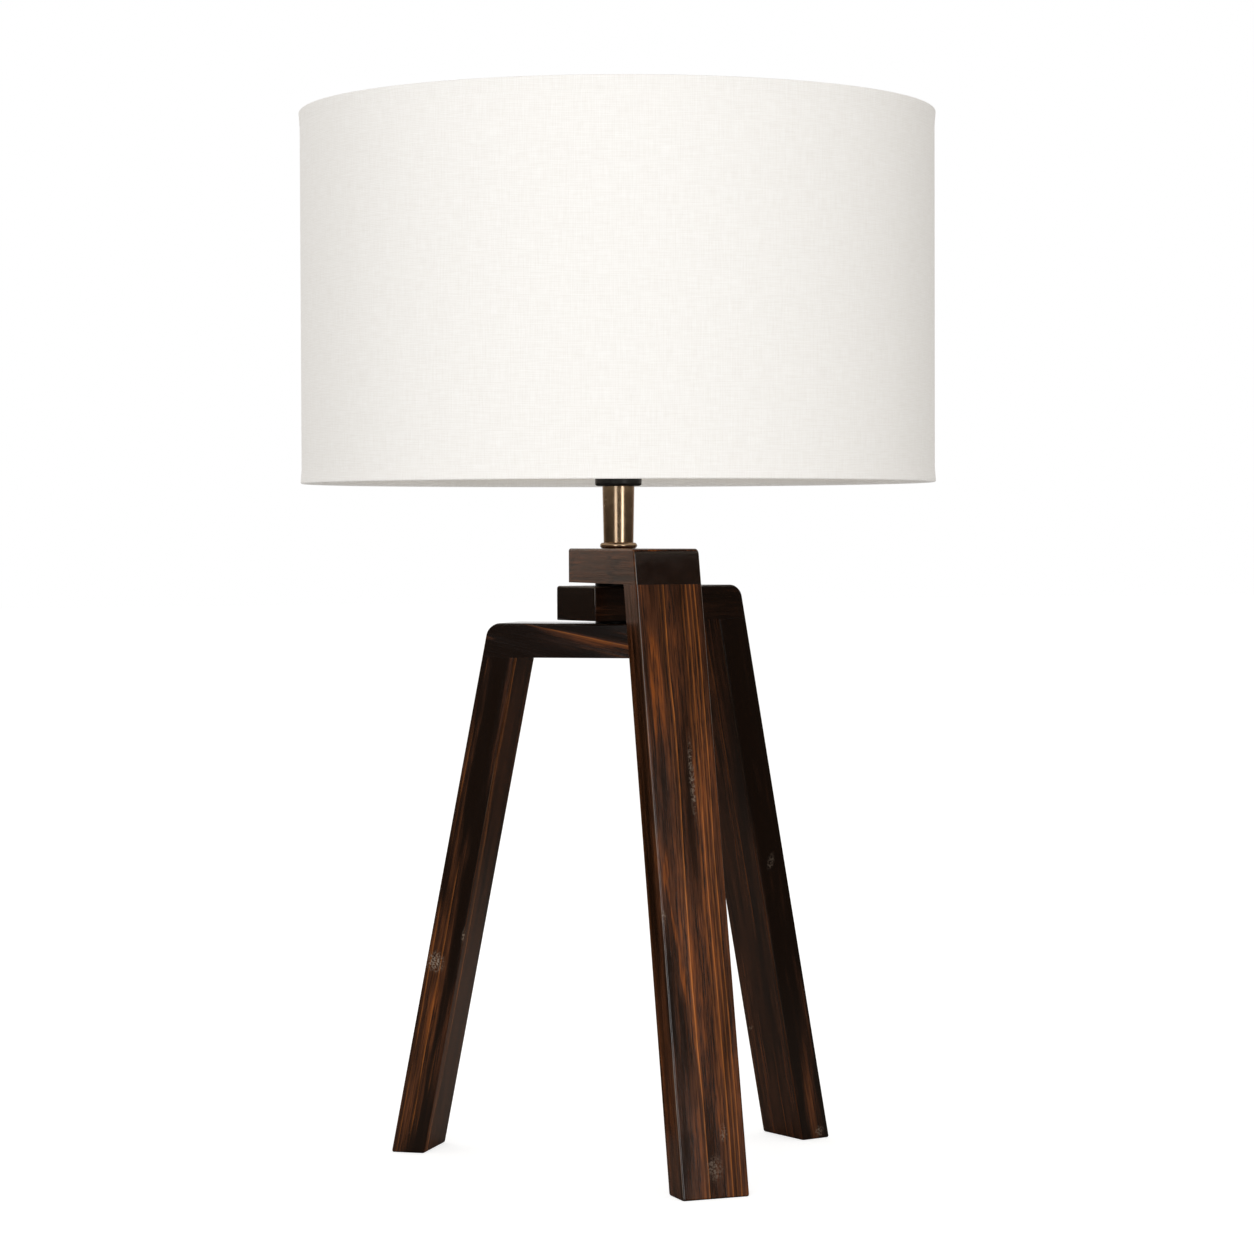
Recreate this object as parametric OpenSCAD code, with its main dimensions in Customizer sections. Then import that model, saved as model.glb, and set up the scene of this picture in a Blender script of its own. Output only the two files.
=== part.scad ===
// Tripod table lamp. Three L-shaped plank legs are stacked on one hollow threaded rod,
// which also carries a short brass neck, a threaded lampholder and a straight drum shade.
// Millimetres, +Z up. The origin is on the floor under the rod, and the front leg points
// along -Y. A bearing is an angle about +Z, measured from the front leg.

/* [Legs] */
// Height of the highest arm's top face above the floor
hub_top = 338; // [300:1:400]
// Width of the planks
plank_w = 38; // [32:1:46]
// Thickness of the planks
plank_t = 19; // [17:0.5:24]
// Lean of each leg from the vertical, in degrees
splay = 11.1; // [6:0.1:15]
// Distance from the rod's axis to the outer top corner of each arm
arm_reach = 70; // [64:1:90]
// Length of the front and right arms behind the rod's axis
arm_tail = 29; // [20:1:36]
// Length of the left arm behind the rod's axis
left_tail = 14; // [14:1:36]
// Rounding of the front arm's outer top corner
front_corner_r = 3.5; // [2:0.5:10]
// Rounding of the outer top corners of the two other arms
side_corner_r = 8; // [3:0.5:10]
// Easing of the planks' edges
edge_r = 1.5; // [0.5:0.1:3]
// Bearing of the right leg from the front leg, in degrees
right_bearing = 103; // [90:1:120]
// Bearing of the left leg from the front leg, in degrees
left_bearing = -127; // [-140:1:-100]

/* [Leg dowels] */
// Diameter of the dowels between an arm and its leg
dowel_d = 8; // [5:0.5:9]
// Distance between the two dowels of a leg
dowel_pitch = 19; // [14:1:22]
// Depth of a dowel in the arm
dowel_in_arm = 12; // [8:1:13]
// Depth of a dowel in the leg
dowel_in_leg = 24; // [15:1:35]

/* [Rod and fasteners] */
// Outer diameter of the threaded rod
rod_d = 10; // [9.5:0.1:11]
// Bore of the threaded rod, for the lead
rod_bore = 7.6; // [7.2:0.1:7.8]
// Thickness of the washers between the arms
spacer_t = 1.5; // [1:0.1:3]
// Diameter of the washers between the arms
spacer_d = 26; // [20:1:27]
// Diameter of the washer under the lowest arm
foot_washer_d = 18; // [17:0.5:20]
// Thickness of the washer under the lowest arm
foot_washer_t = 1.5; // [1:0.1:2]
// Width of the rod nut across its flats
nut_af = 14; // [13:0.5:15]
// Height of the rod nut
nut_h = 4; // [3:0.5:5]
// Length of rod that shows under the nut
rod_end = 1; // [0.5:0.1:2]

/* [Cord bushing] */
// Hole for the lead
bushing_bore = 6; // [5:0.1:6.2]
// Diameter of the bushing's flange
bushing_flange_d = 12; // [11:0.5:15]
// Thickness of the bushing's flange
bushing_flange_t = 1.5; // [1:0.1:2]
// Length of the bushing's barrel in the rod
bushing_barrel = 8; // [5:1:12]

/* [Neck] */
// Diameter of the beaded collar on the hub
collar_d = 20.6; // [19:0.1:26]
// Height of the beaded collar
collar_h = 3.2; // [2.4:0.1:5]
// Height of the collar's spigot inside the sleeve
spigot_h = 2; // [1:0.5:6]
// Height of the brass sleeve
sleeve_h = 31.3; // [25:0.1:45]
// Diameter of the sleeve at its foot
sleeve_base_d = 16.6; // [15.5:0.1:18]
// Diameter of the sleeve under the lampholder
sleeve_top_d = 17.8; // [16.5:0.1:22]
// Wall of the sleeve
sleeve_wall = 1; // [0.6:0.1:1.4]

/* [Lampholder] */
// Diameter of the cap's foot, on the sleeve
cap_base_d = 25.8; // [24:0.1:29]
// Diameter of the cap's rim
cap_d = 39.5; // [38.5:0.1:41]
// Height of the cap
cap_h = 24; // [22:0.5:28]
// Thickness of the cap's floor
cap_floor = 3; // [2:0.5:4]
// Wall of the cap around the insert
cap_wall = 2.1; // [1.6:0.1:2.6]
// Height of the insert that carries the contacts
insert_h = 8; // [7:0.5:9]
// Diameter of the skirt's shade thread
skirt_d = 39.5; // [38:0.1:41]
// Height of the skirt
skirt_h = 30; // [28:0.5:36]
// Diameter of the skirt's flange, which carries the shade
flange_d = 46; // [44:0.5:52]
// Thickness of the skirt's flange
flange_t = 3; // [2.6:0.1:4]
// Diameter of the clamp ring
clamp_ring_d = 51; // [46:0.5:56]
// Height of the clamp ring
clamp_ring_h = 7; // [5:0.5:10]

/* [Bulb] */
// Outer diameter of the screw cap
screw_cap_d = 26.4; // [25.5:0.1:26.6]
// Height of the screw cap's shell
screw_cap_h = 22; // [20:0.5:24]
// Diameter of the glass
bulb_d = 60; // [45:1:65]
// Height of the bulb over its contact
bulb_h = 106; // [95:1:115]
// Diameter of the glass neck above the screw cap
bulb_neck_d = 26; // [25:0.5:30]
// Thickness of the glass
glass_t = 1; // [0.6:0.1:1.5]

/* [Shade] */
// Outer diameter of the shade, over its edge tapes
shade_d = 350; // [300:1:400]
// Height of the shade
shade_h = 203; // [170:1:260]
// Drop from the fitter's seat to the shade's lower edge
shade_drop = 25.5; // [15:0.5:40]
// Thickness of the linen
fabric_t = 0.5; // [0.4:0.1:1]
// Thickness of the stiff liner behind the linen
liner_t = 0.5; // [0.4:0.1:1]
// Thickness of the edge tapes
tape_t = 0.6; // [0.4:0.1:1]
// Width of the edge tapes on the outside
hem_w = 7.5; // [6:0.5:14]
// Wire of the two rings and the spider's arms
wire_d = 3; // [2:0.1:4]
// Hole of the fitter disc
fitter_bore = 42; // [41.5:0.1:43.5]
// Diameter of the fitter disc
fitter_d = 60; // [54:1:80]
// Thickness of the fitter disc
fitter_t = 1.5; // [1:0.1:2.5]
// Bearing of the spider's first arm, in degrees
spider_bearing = 158; // [140:1:175]

/* [Hidden] */

$fn = 96;
shade_fn = 180;
eps = 0.01;

// Clearances between fitted pieces, all on the radius or the depth
swivel_clear = 0.08;
stack_clear = 0.05;
thread_clear = 0.05;
dowel_clear = 0.1;
dowel_end_clear = 0.5;
recess_clear = 0.6;
drop_in_clear = 0.2;
weld_clear = 0.15;
notch_clear = 0.3;
wire_clear = 0.1;

// Heights of the three arms' undersides, from the top of the stack down
arm_step = plank_t + spacer_t + 2 * stack_clear;
front_arm_z = hub_top - plank_t;
right_arm_z = front_arm_z - arm_step;
left_arm_z = right_arm_z - arm_step;

// The leg runs from the arm's underside to the floor, flush with the arm's outer end. Its
// dowels stand upright, in the middle of the plank at half their depth
plank_across = plank_t / cos(splay);
edge_steps = 3;
corner_steps = 12;
dowel_reach = arm_reach - plank_across / 2 + (plank_t + dowel_in_leg / 2) * tan(splay);

// The recess under the left arm hides the washer, the nut and the bushing's flange
recess_depth = stack_clear + foot_washer_t + nut_h + rod_end + bushing_flange_t;
recess_r = foot_washer_d / 2 + recess_clear;
rod_r = rod_d / 2;
rod_hole_r = rod_r + swivel_clear;
rod_z = left_arm_z + bushing_flange_t;
nut_z = rod_z + rod_end;
foot_washer_z = nut_z + nut_h;
nut_facets = 6;

// Neck
sleeve_z = hub_top + collar_h;
sleeve_bore_r = sleeve_base_d / 2 - sleeve_wall;
bead_r = collar_h / 2;
sleeve_web = 1.5;

// Lampholder. The insert sits on a ledge in the cap and stands proud into the skirt
cap_z = sleeve_z + sleeve_h;
rod_above_cap_floor = 5;
rod_top_z = cap_z + cap_floor + rod_above_cap_floor;
cap_foot_h = 8;
cap_foot_wall = 2.4;
cap_edge_r = 1.5;
insert_sunk = 6;
cap_cone_top = cap_h - insert_sunk;
insert_r = cap_d / 2 - cap_wall - drop_in_clear;
ledge_w = 2;
insert_z = cap_z + cap_cone_top;
insert_top = insert_z + insert_h;
terminal_d = 5;
terminal_h = 3.5;
terminal_pitch = 16;
skirt_z = cap_z + cap_h;
shell_wall = 0.6;
shell_r = screw_cap_d / 2 + 0.1;
shell_h = 20;
shell_seat_clear = 0.2;
leaf_l = 16;
leaf_w = 6;
leaf_t = 0.6;
leaf_dome_d = 5;
leaf_dome_h = 1;
lead_hole_d = 3;
lead_hole_pitch = 16;
fitter_z = skirt_z + flange_t;
clamp_ring_z = fitter_z + fitter_t;
clamp_grip_count = 24;
clamp_grip_r = 1.2;

// Bulb, up from the tip of its contact
bulb_z = insert_top + leaf_t + leaf_dome_h + 0.1;
bulb_tip_r = 4.8;
bulb_tip_h = 1.2;
insulator_r = 10.5;
insulator_h = 3;
screw_cap_z = bulb_z + bulb_tip_h + insulator_h;
screw_cap_wall = 0.5;
glass_in_cap = 6;
glass_z = screw_cap_z + screw_cap_h - glass_in_cap;
glass_plug_r = screw_cap_d / 2 - screw_cap_wall - weld_clear;
bulb_r = bulb_d / 2;
bulb_neck_r = bulb_neck_d / 2;
globe_z = bulb_z + bulb_h - bulb_r;
waist_z = screw_cap_z + screw_cap_h + 6;
waist_r = (pow(bulb_neck_r, 2) + pow(globe_z - waist_z, 2) - pow(bulb_r, 2))
    / (2 * (bulb_r - bulb_neck_r));
waist_turn = atan((globe_z - waist_z) / (bulb_neck_r + waist_r));
arc_steps = 16;

// Shade. An edge tape rolls over the wire and grips the linen and its liner
shade_z = fitter_z - shade_drop;
shade_r = shade_d / 2;
roll_r = tape_t + (fabric_t + liner_t + wire_d) / 2 + wire_clear;
roll_centre_r = shade_r - roll_r;
fabric_r = shade_r - tape_t;
liner_r = fabric_r - fabric_t;
liner_face_r = liner_r - liner_t;
wire_ring_r = liner_face_r - wire_clear - wire_d / 2;
bottom_wire_z = shade_z + roll_r;
top_wire_z = shade_z + shade_h - roll_r;
spider_arm_count = 3;
spider_inner_r = fitter_d / 2 + weld_clear;
spider_mid_z = fitter_z + fitter_t / 2;
spider_run = wire_ring_r - spider_inner_r;
spider_fall = spider_mid_z - bottom_wire_z;
spider_tilt = atan(spider_fall / spider_run);
spider_len = norm([spider_run, spider_fall]) - wire_d / 2 - weld_clear;

// Colours
wood = "#3a2216";
beech = "#cda877";
antique_brass = "#8a6a42";
bright_brass = "#c9a45c";
zinc = "#b4b7b8";
black_plastic = "#1c1c1c";
porcelain = "#e6e1d6";
frosted_glass = "#f3f3ee";
white_wire = "#ececec";
ivory_linen = "#f1eee6";
white_liner = "#fafafa";

// ---- Shared shapes ----

// Rectangle with round corners
module rounded_rect(w, h, r) {
    square([w - 2 * r, h], center = true);
    square([w, h - 2 * r], center = true);
    for (x = [-1, 1], y = [-1, 1])
        translate([x * (w / 2 - r), y * (h / 2 - r)])
            circle(r);
}

// Stands a drawing of radius and height upright, with its radius towards the bearing
module upright(bearing) {
    rotate([0, 0, bearing])
        rotate([90, 0, -90])
            children();
}

// Flat ring
module ring(outer_r, inner_r, h) {
    difference() {
        cylinder(r = outer_r, h = h);
        translate([0, 0, -eps])
            cylinder(r = inner_r, h = h + 2 * eps);
    }
}

// Wire bent into a closed ring
module wire_ring(z) {
    translate([0, 0, z])
        rotate_extrude($fn = shade_fn)
            translate([wire_ring_r, 0])
                circle(wire_d / 2, $fn = 32);
}

// ---- Legs ----

// Points along an arc, with the angles in degrees
function arc(centre, r, from, to, steps) = [for (i = [0 : steps])
    let (turn = from + (to - from) * i / steps)
    centre + r * [cos(turn), sin(turn)]];

// Side view of an arm: eased behind, rounded at the outer top corner and flush with the leg
module arm_side(tail, corner_r) {
    outer = [arm_reach + corner_r * (tan(splay) - 1 / cos(splay)), plank_t - corner_r];
    polygon(concat(
        arc([edge_r - tail, edge_r], edge_r, 270, 180, edge_steps),
        arc([edge_r - tail, plank_t - edge_r], edge_r, 180, 90, edge_steps),
        arc(outer, corner_r, 90, splay, corner_steps),
        [[arm_reach + plank_t * tan(splay), 0]]
    ));
}

// Plank of one leg along its lean, long enough to be cut at both ends; grown inwards by extra
module slanted_plank(arm_z, inward = 0) {
    foot_r = arm_reach + (arm_z + plank_t) * tan(splay) - plank_across / 2;
    over = 2 * plank_t;
    length = (arm_z + plank_t) / cos(splay) + 2 * over;
    translate([0, -foot_r, 0])
        rotate([-splay, 0, 0])
            translate([0, inward / 2, -over])
                linear_extrude(length)
                    rounded_rect(plank_w, plank_t + inward, edge_r);
}

// The two dowels of one leg, or their holes when grown by a clearance
module dowel_pair(arm_z, bearing, side_clear = 0, end_clear = 0) {
    rotate([0, 0, bearing])
        for (x = [-1, 1])
            translate([x * dowel_pitch / 2, -dowel_reach, arm_z - dowel_in_leg - end_clear])
                cylinder(
                    d = dowel_d + 2 * side_clear,
                    h = dowel_in_leg + dowel_in_arm + 2 * end_clear,
                    $fn = 32
                );
}

module dowels(arm_z, bearing) {
    color(beech)
        dowel_pair(arm_z, bearing);
}

module dowel_holes(arm_z, bearing) {
    dowel_pair(arm_z, bearing, dowel_clear, dowel_end_clear);
}

// Horizontal plank of an L, with the rod's hole and the dowel holes
module arm(arm_z, tail, bearing, corner_r) {
    length = tail + arm_reach + 2 * plank_t;
    color(wood)
        difference() {
            rotate([0, 0, bearing])
                intersection() {
                    translate([0, tail, arm_z + plank_t / 2])
                        rotate([90, 0, 0])
                            linear_extrude(length)
                                rounded_rect(plank_w, plank_t, edge_r);
                    translate([0, 0, arm_z])
                        upright(0)
                            linear_extrude(2 * plank_w, center = true)
                                arm_side(tail, corner_r);
                    translate([0, tail - length / 2, arm_z - plank_t])
                        linear_extrude(3 * plank_t)
                            rounded_rect(plank_w, length, edge_r);
                    slanted_plank(arm_z, length);
                }
            translate([0, 0, arm_z - eps])
                cylinder(r = rod_hole_r, h = plank_t + 2 * eps);
            dowel_holes(arm_z, bearing);
        }
}

// Sloping plank of an L, cut level at the floor and under its arm
module leg(arm_z, bearing) {
    reach = 2 * (arm_reach + hub_top);
    color(wood)
        difference() {
            rotate([0, 0, bearing])
                intersection() {
                    slanted_plank(arm_z);
                    translate([-plank_w, -reach, 0])
                        cube([2 * plank_w, reach, arm_z]);
                }
            dowel_holes(arm_z, bearing);
        }
}

module front_arm() {
    arm(front_arm_z, arm_tail, 0, front_corner_r);
}

module front_leg() {
    leg(front_arm_z, 0);
}

module front_dowels() {
    dowels(front_arm_z, 0);
}

module right_arm() {
    arm(right_arm_z, arm_tail, right_bearing, side_corner_r);
}

module right_leg() {
    leg(right_arm_z, right_bearing);
}

module right_dowels() {
    dowels(right_arm_z, right_bearing);
}

module left_arm() {
    color(wood)
        difference() {
            arm(left_arm_z, left_tail, left_bearing, side_corner_r);
            translate([0, 0, left_arm_z - eps])
                cylinder(r = recess_r, h = recess_depth + eps);
        }
}

module left_leg() {
    leg(left_arm_z, left_bearing);
}

module left_dowels() {
    dowels(left_arm_z, left_bearing);
}

// ---- Rod and fasteners ----

module threaded_rod() {
    color(zinc)
        translate([0, 0, rod_z])
            ring(rod_r, rod_bore / 2, rod_top_z - rod_z);
}

// Washer under the arm whose underside is at this height
module spacer(arm_z) {
    color(zinc)
        translate([0, 0, arm_z - stack_clear - spacer_t])
            ring(spacer_d / 2, rod_hole_r, spacer_t);
}

module upper_spacer() {
    spacer(front_arm_z);
}

module lower_spacer() {
    spacer(right_arm_z);
}

module foot_washer() {
    color(zinc)
        translate([0, 0, foot_washer_z])
            ring(foot_washer_d / 2, rod_hole_r, foot_washer_t);
}

module rod_nut() {
    color(zinc)
        translate([0, 0, nut_z])
            difference() {
                cylinder(d = nut_af / cos(180 / nut_facets), h = nut_h, $fn = nut_facets);
                translate([0, 0, -eps])
                    cylinder(r = rod_r + thread_clear, h = nut_h + 2 * eps);
            }
}

// Plastic sleeve that guards the lead where it leaves the rod
module cord_bushing() {
    color(black_plastic)
        translate([0, 0, left_arm_z])
            difference() {
                union() {
                    cylinder(d = bushing_flange_d, h = bushing_flange_t);
                    cylinder(
                        r = rod_bore / 2 - thread_clear,
                        h = bushing_flange_t + bushing_barrel
                    );
                }
                translate([0, 0, -eps])
                    cylinder(d = bushing_bore, h = bushing_flange_t + bushing_barrel + 2 * eps);
            }
}

// ---- Neck ----

// Turned ring with a round bead outside and a spigot that centres the sleeve
module neck_collar() {
    color(antique_brass)
        translate([0, 0, hub_top])
            difference() {
                union() {
                    cylinder(r = collar_d / 2 - bead_r, h = collar_h);
                    rotate_extrude()
                        translate([collar_d / 2 - bead_r, bead_r])
                            circle(bead_r, $fn = 32);
                    cylinder(r = sleeve_bore_r - drop_in_clear, h = collar_h + spigot_h);
                }
                translate([0, 0, -eps])
                    cylinder(r = rod_hole_r, h = collar_h + spigot_h + 2 * eps);
            }
}

// Drawn sleeve, a little wider at the top, where a web closes in to the rod
module neck_sleeve() {
    widening = (sleeve_top_d - sleeve_base_d) / 2;
    color(antique_brass)
        translate([0, 0, sleeve_z])
            rotate_extrude()
                polygon([
                    [sleeve_bore_r, 0],
                    [sleeve_bore_r + sleeve_wall, 0],
                    [sleeve_bore_r + sleeve_wall + widening, sleeve_h],
                    [rod_hole_r, sleeve_h],
                    [rod_hole_r, sleeve_h - sleeve_web],
                    [sleeve_bore_r, sleeve_h - sleeve_web]
                ]);
}

// ---- Lampholder ----

// Outline of the cap: a short cylinder that opens in a cone to the rim
module cap_outline() {
    foot_r = cap_base_d / 2;
    difference() {
        union() {
            translate([foot_r - cap_edge_r, cap_edge_r])
                circle(cap_edge_r, $fn = 32);
            polygon([
                [0, 0],
                [foot_r - cap_edge_r, 0],
                [foot_r, cap_edge_r],
                [foot_r, cap_foot_h],
                [cap_d / 2, cap_cone_top],
                [cap_d / 2, cap_h],
                [0, cap_h]
            ]);
        }
        polygon([
            [-1, -1],
            [rod_r + thread_clear, -1],
            [rod_r + thread_clear, cap_floor],
            [foot_r - cap_foot_wall, cap_floor],
            [foot_r - cap_foot_wall, cap_foot_h],
            [insert_r - ledge_w, cap_cone_top - 1],
            [insert_r - ledge_w, cap_cone_top],
            [insert_r + drop_in_clear, cap_cone_top],
            [insert_r + drop_in_clear, cap_h + 1],
            [-1, cap_h + 1]
        ]);
    }
}

module lampholder_cap() {
    color(black_plastic)
        translate([0, 0, cap_z])
            rotate_extrude()
                cap_outline();
}

// Moulded block with two holes for the leads and two for the terminal screws
module lampholder_insert() {
    color(porcelain)
        translate([0, 0, insert_z])
            difference() {
                cylinder(r = insert_r, h = insert_h);
                for (y = [-1, 1])
                    translate([0, y * lead_hole_pitch / 2, -eps])
                        cylinder(d = lead_hole_d, h = insert_h + 2 * eps, $fn = 32);
            }
}

// Two brass terminals under the insert, each with a slotted head
module terminal_screws() {
    slot = 0.8;
    color(bright_brass)
        for (x = [-1, 1])
            translate([x * terminal_pitch / 2, 0, insert_z - terminal_h])
                difference() {
                    cylinder(d = terminal_d, h = terminal_h, $fn = 32);
                    translate([-terminal_d, -slot / 2, -slot])
                        cube([2 * terminal_d, slot, 2 * slot]);
                }
}

// Leaf that presses on the bulb's tip
module centre_contact() {
    color(bright_brass)
        translate([0, 0, insert_top]) {
            translate([-leaf_l / 2, -leaf_w / 2, 0])
                cube([leaf_l, leaf_w, leaf_t]);
            cylinder(d = leaf_dome_d, h = leaf_t + leaf_dome_h, $fn = 32);
        }
}

// Rolled brass shell that the bulb screws into
module socket_shell() {
    color(bright_brass)
        translate([0, 0, insert_top])
            ring(shell_r + shell_wall, shell_r, shell_h);
}

// Moulded tube over the shell: a flange for the shade, and the shade thread above it
module lampholder_skirt() {
    color(black_plastic)
        translate([0, 0, skirt_z])
            difference() {
                union() {
                    cylinder(d = flange_d, h = flange_t);
                    cylinder(d = skirt_d, h = skirt_h);
                }
                translate([0, 0, -eps])
                    cylinder(r = shell_r + shell_wall + shell_seat_clear, h = skirt_h + 2 * eps);
                translate([0, 0, -eps])
                    cylinder(r = insert_r + drop_in_clear, h = insert_top - skirt_z + 2 * eps);
            }
}

// Threaded ring that clamps the shade's fitter on the flange, with grips around its rim
module clamp_ring() {
    color(black_plastic)
        translate([0, 0, clamp_ring_z])
            difference() {
                cylinder(d = clamp_ring_d, h = clamp_ring_h);
                translate([0, 0, -eps])
                    cylinder(r = skirt_d / 2 + swivel_clear, h = clamp_ring_h + 2 * eps);
                for (i = [0 : clamp_grip_count - 1])
                    rotate([0, 0, i * 360 / clamp_grip_count])
                        translate([clamp_ring_d / 2 + clamp_grip_r / 2, 0, -eps])
                            cylinder(r = clamp_grip_r, h = clamp_ring_h + 2 * eps, $fn = 16);
            }
}

// ---- Bulb ----

module bulb_contact() {
    color(zinc)
        translate([0, 0, bulb_z])
            cylinder(r1 = bulb_tip_r - 1.5, r2 = bulb_tip_r, h = bulb_tip_h);
}

module bulb_insulator() {
    color(black_plastic)
        translate([0, 0, bulb_z + bulb_tip_h])
            cylinder(r1 = bulb_tip_r + 1, r2 = insulator_r, h = insulator_h);
}

module bulb_screw_cap() {
    outer_r = screw_cap_d / 2;
    color(zinc)
        translate([0, 0, screw_cap_z])
            rotate_extrude()
                polygon([
                    [0, 0],
                    [insulator_r, 0],
                    [outer_r, outer_r - insulator_r],
                    [outer_r, screw_cap_h],
                    [outer_r - screw_cap_wall, screw_cap_h],
                    [outer_r - screw_cap_wall, screw_cap_h - glass_in_cap - 1],
                    [0, screw_cap_h - glass_in_cap - 1]
                ]);
}

// Half outline of the glass above its plug: waist arc, then globe arc, drawn in by inset
function glass_outline(inset) = concat(
    arc([bulb_neck_r + waist_r, waist_z], waist_r + inset, 180, 180 - waist_turn, arc_steps),
    arc([0, globe_z], bulb_r - inset, -waist_turn + 90 / arc_steps, 90, arc_steps)
);

// Pear-shaped globe with a plug that is cemented in the screw cap
module bulb_glass() {
    outside = glass_outline(0);
    inside = glass_outline(glass_t);
    shoulder_z = screw_cap_z + screw_cap_h + 0.5;
    color(frosted_glass)
        rotate_extrude()
            polygon(concat(
                [[glass_plug_r - glass_t, glass_z]],
                [[glass_plug_r, glass_z]],
                [[glass_plug_r, shoulder_z]],
                [[bulb_neck_r, shoulder_z]],
                outside,
                [for (i = [len(inside) - 1 : -1 : 0]) inside[i]],
                [[bulb_neck_r - glass_t, shoulder_z + glass_t]],
                [[glass_plug_r - glass_t, shoulder_z + glass_t]]
            ));
}

// ---- Shade ----

// Pressed steel disc that drops over the skirt and sits on its flange
module fitter_disc() {
    color(white_wire)
        translate([0, 0, fitter_z])
            ring(fitter_d / 2, fitter_bore / 2, fitter_t);
}

// One arm from the fitter disc down to the bottom ring, thickened by extra
module spider_arm(bearing, extra = 0) {
    rotate([0, 0, bearing])
        translate([0, -spider_inner_r, spider_mid_z])
            rotate([90 + spider_tilt, 0, 0])
                cylinder(d = wire_d + 2 * extra, h = spider_len, $fn = 32);
}

module spider(extra = 0) {
    for (i = [0 : spider_arm_count - 1])
        spider_arm(spider_bearing + i * 360 / spider_arm_count, extra);
}

module spider_arms() {
    color(white_wire)
        spider();
}

module bottom_ring_wire() {
    color(white_wire)
        wire_ring(bottom_wire_z);
}

module top_ring_wire() {
    color(white_wire)
        wire_ring(top_wire_z);
}

module shade_wall(outer_r, wall) {
    translate([0, 0, bottom_wire_z])
        rotate_extrude($fn = shade_fn)
            translate([outer_r - wall, 0])
                square([wall, top_wire_z - bottom_wire_z]);
}

module shade_liner() {
    color(white_liner)
        shade_wall(liner_r, liner_t);
}

module shade_fabric() {
    color(ivory_linen)
        shade_wall(fabric_r, fabric_t);
}

// Section of an edge tape, with its roll at the origin and its two flaps upwards
module tape_section() {
    flap_h = hem_w - roll_r;
    flap_bend = wire_d / 2;
    liner_face = liner_face_r - roll_centre_r;
    difference() {
        circle(roll_r, $fn = 48);
        circle(roll_r - tape_t, $fn = 48);
        translate([-roll_r - 1, 0])
            square(2 * roll_r + 2);
    }
    translate([roll_r - tape_t, 0])
        square([tape_t, flap_h]);
    polygon([
        [-roll_r, 0],
        [tape_t - roll_r, 0],
        [tape_t - roll_r, flap_bend],
        [liner_face, flap_h - tape_t],
        [liner_face, flap_h],
        [liner_face - tape_t, flap_h],
        [-roll_r, flap_bend]
    ]);
}

module bottom_edge_tape() {
    color(ivory_linen)
        difference() {
            translate([0, 0, bottom_wire_z])
                rotate_extrude($fn = shade_fn)
                    translate([roll_centre_r, 0])
                        tape_section();
            spider(notch_clear);
        }
}

module top_edge_tape() {
    color(ivory_linen)
        translate([0, 0, top_wire_z])
            rotate_extrude($fn = shade_fn)
                translate([roll_centre_r, 0])
                    mirror([0, 1])
                        tape_section();
}

front_arm();
front_leg();
front_dowels();
right_arm();
right_leg();
right_dowels();
left_arm();
left_leg();
left_dowels();
threaded_rod();
upper_spacer();
lower_spacer();
foot_washer();
rod_nut();
cord_bushing();
neck_collar();
neck_sleeve();
lampholder_cap();
lampholder_insert();
terminal_screws();
centre_contact();
socket_shell();
lampholder_skirt();
clamp_ring();
bulb_contact();
bulb_insulator();
bulb_screw_cap();
bulb_glass();
fitter_disc();
spider_arms();
bottom_ring_wire();
top_ring_wire();
shade_liner();
shade_fabric();
bottom_edge_tape();
top_edge_tape();
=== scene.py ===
# %% [markdown]
# # Dressing a tripod table lamp
#
# The lamp is a straight linen drum on a short brass neck, over three L-shaped legs of dark
# stained pine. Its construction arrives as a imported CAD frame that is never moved. What this
# script adds is what the eye reads: eased and lacquered timber, patinated brass, woven linen,
# soft studio light and a camera where the photographer stood.

# %% Load the frame
import math

import bmesh
import bpy
from mathutils import Matrix, Quaternion, Vector


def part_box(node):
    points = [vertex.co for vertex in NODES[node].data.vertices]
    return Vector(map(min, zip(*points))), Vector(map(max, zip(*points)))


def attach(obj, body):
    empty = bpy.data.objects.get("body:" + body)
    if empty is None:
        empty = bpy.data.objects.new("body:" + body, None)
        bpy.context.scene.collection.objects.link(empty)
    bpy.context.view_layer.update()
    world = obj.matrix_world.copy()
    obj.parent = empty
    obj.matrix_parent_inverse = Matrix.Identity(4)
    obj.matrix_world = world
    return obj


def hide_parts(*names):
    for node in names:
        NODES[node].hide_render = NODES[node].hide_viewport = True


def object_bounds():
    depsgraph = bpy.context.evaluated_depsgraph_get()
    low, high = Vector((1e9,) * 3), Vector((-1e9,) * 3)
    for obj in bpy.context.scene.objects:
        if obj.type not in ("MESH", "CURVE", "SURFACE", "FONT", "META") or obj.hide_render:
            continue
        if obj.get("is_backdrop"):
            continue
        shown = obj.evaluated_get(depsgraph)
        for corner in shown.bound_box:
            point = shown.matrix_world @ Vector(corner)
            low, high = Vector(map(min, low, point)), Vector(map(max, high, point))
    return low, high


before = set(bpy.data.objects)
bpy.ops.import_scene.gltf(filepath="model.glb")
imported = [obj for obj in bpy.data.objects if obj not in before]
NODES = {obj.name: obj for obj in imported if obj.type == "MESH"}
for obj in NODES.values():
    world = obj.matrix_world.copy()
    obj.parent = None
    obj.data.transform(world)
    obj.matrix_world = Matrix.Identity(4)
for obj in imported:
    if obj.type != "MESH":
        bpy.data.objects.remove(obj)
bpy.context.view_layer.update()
MM = 0.001

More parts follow.
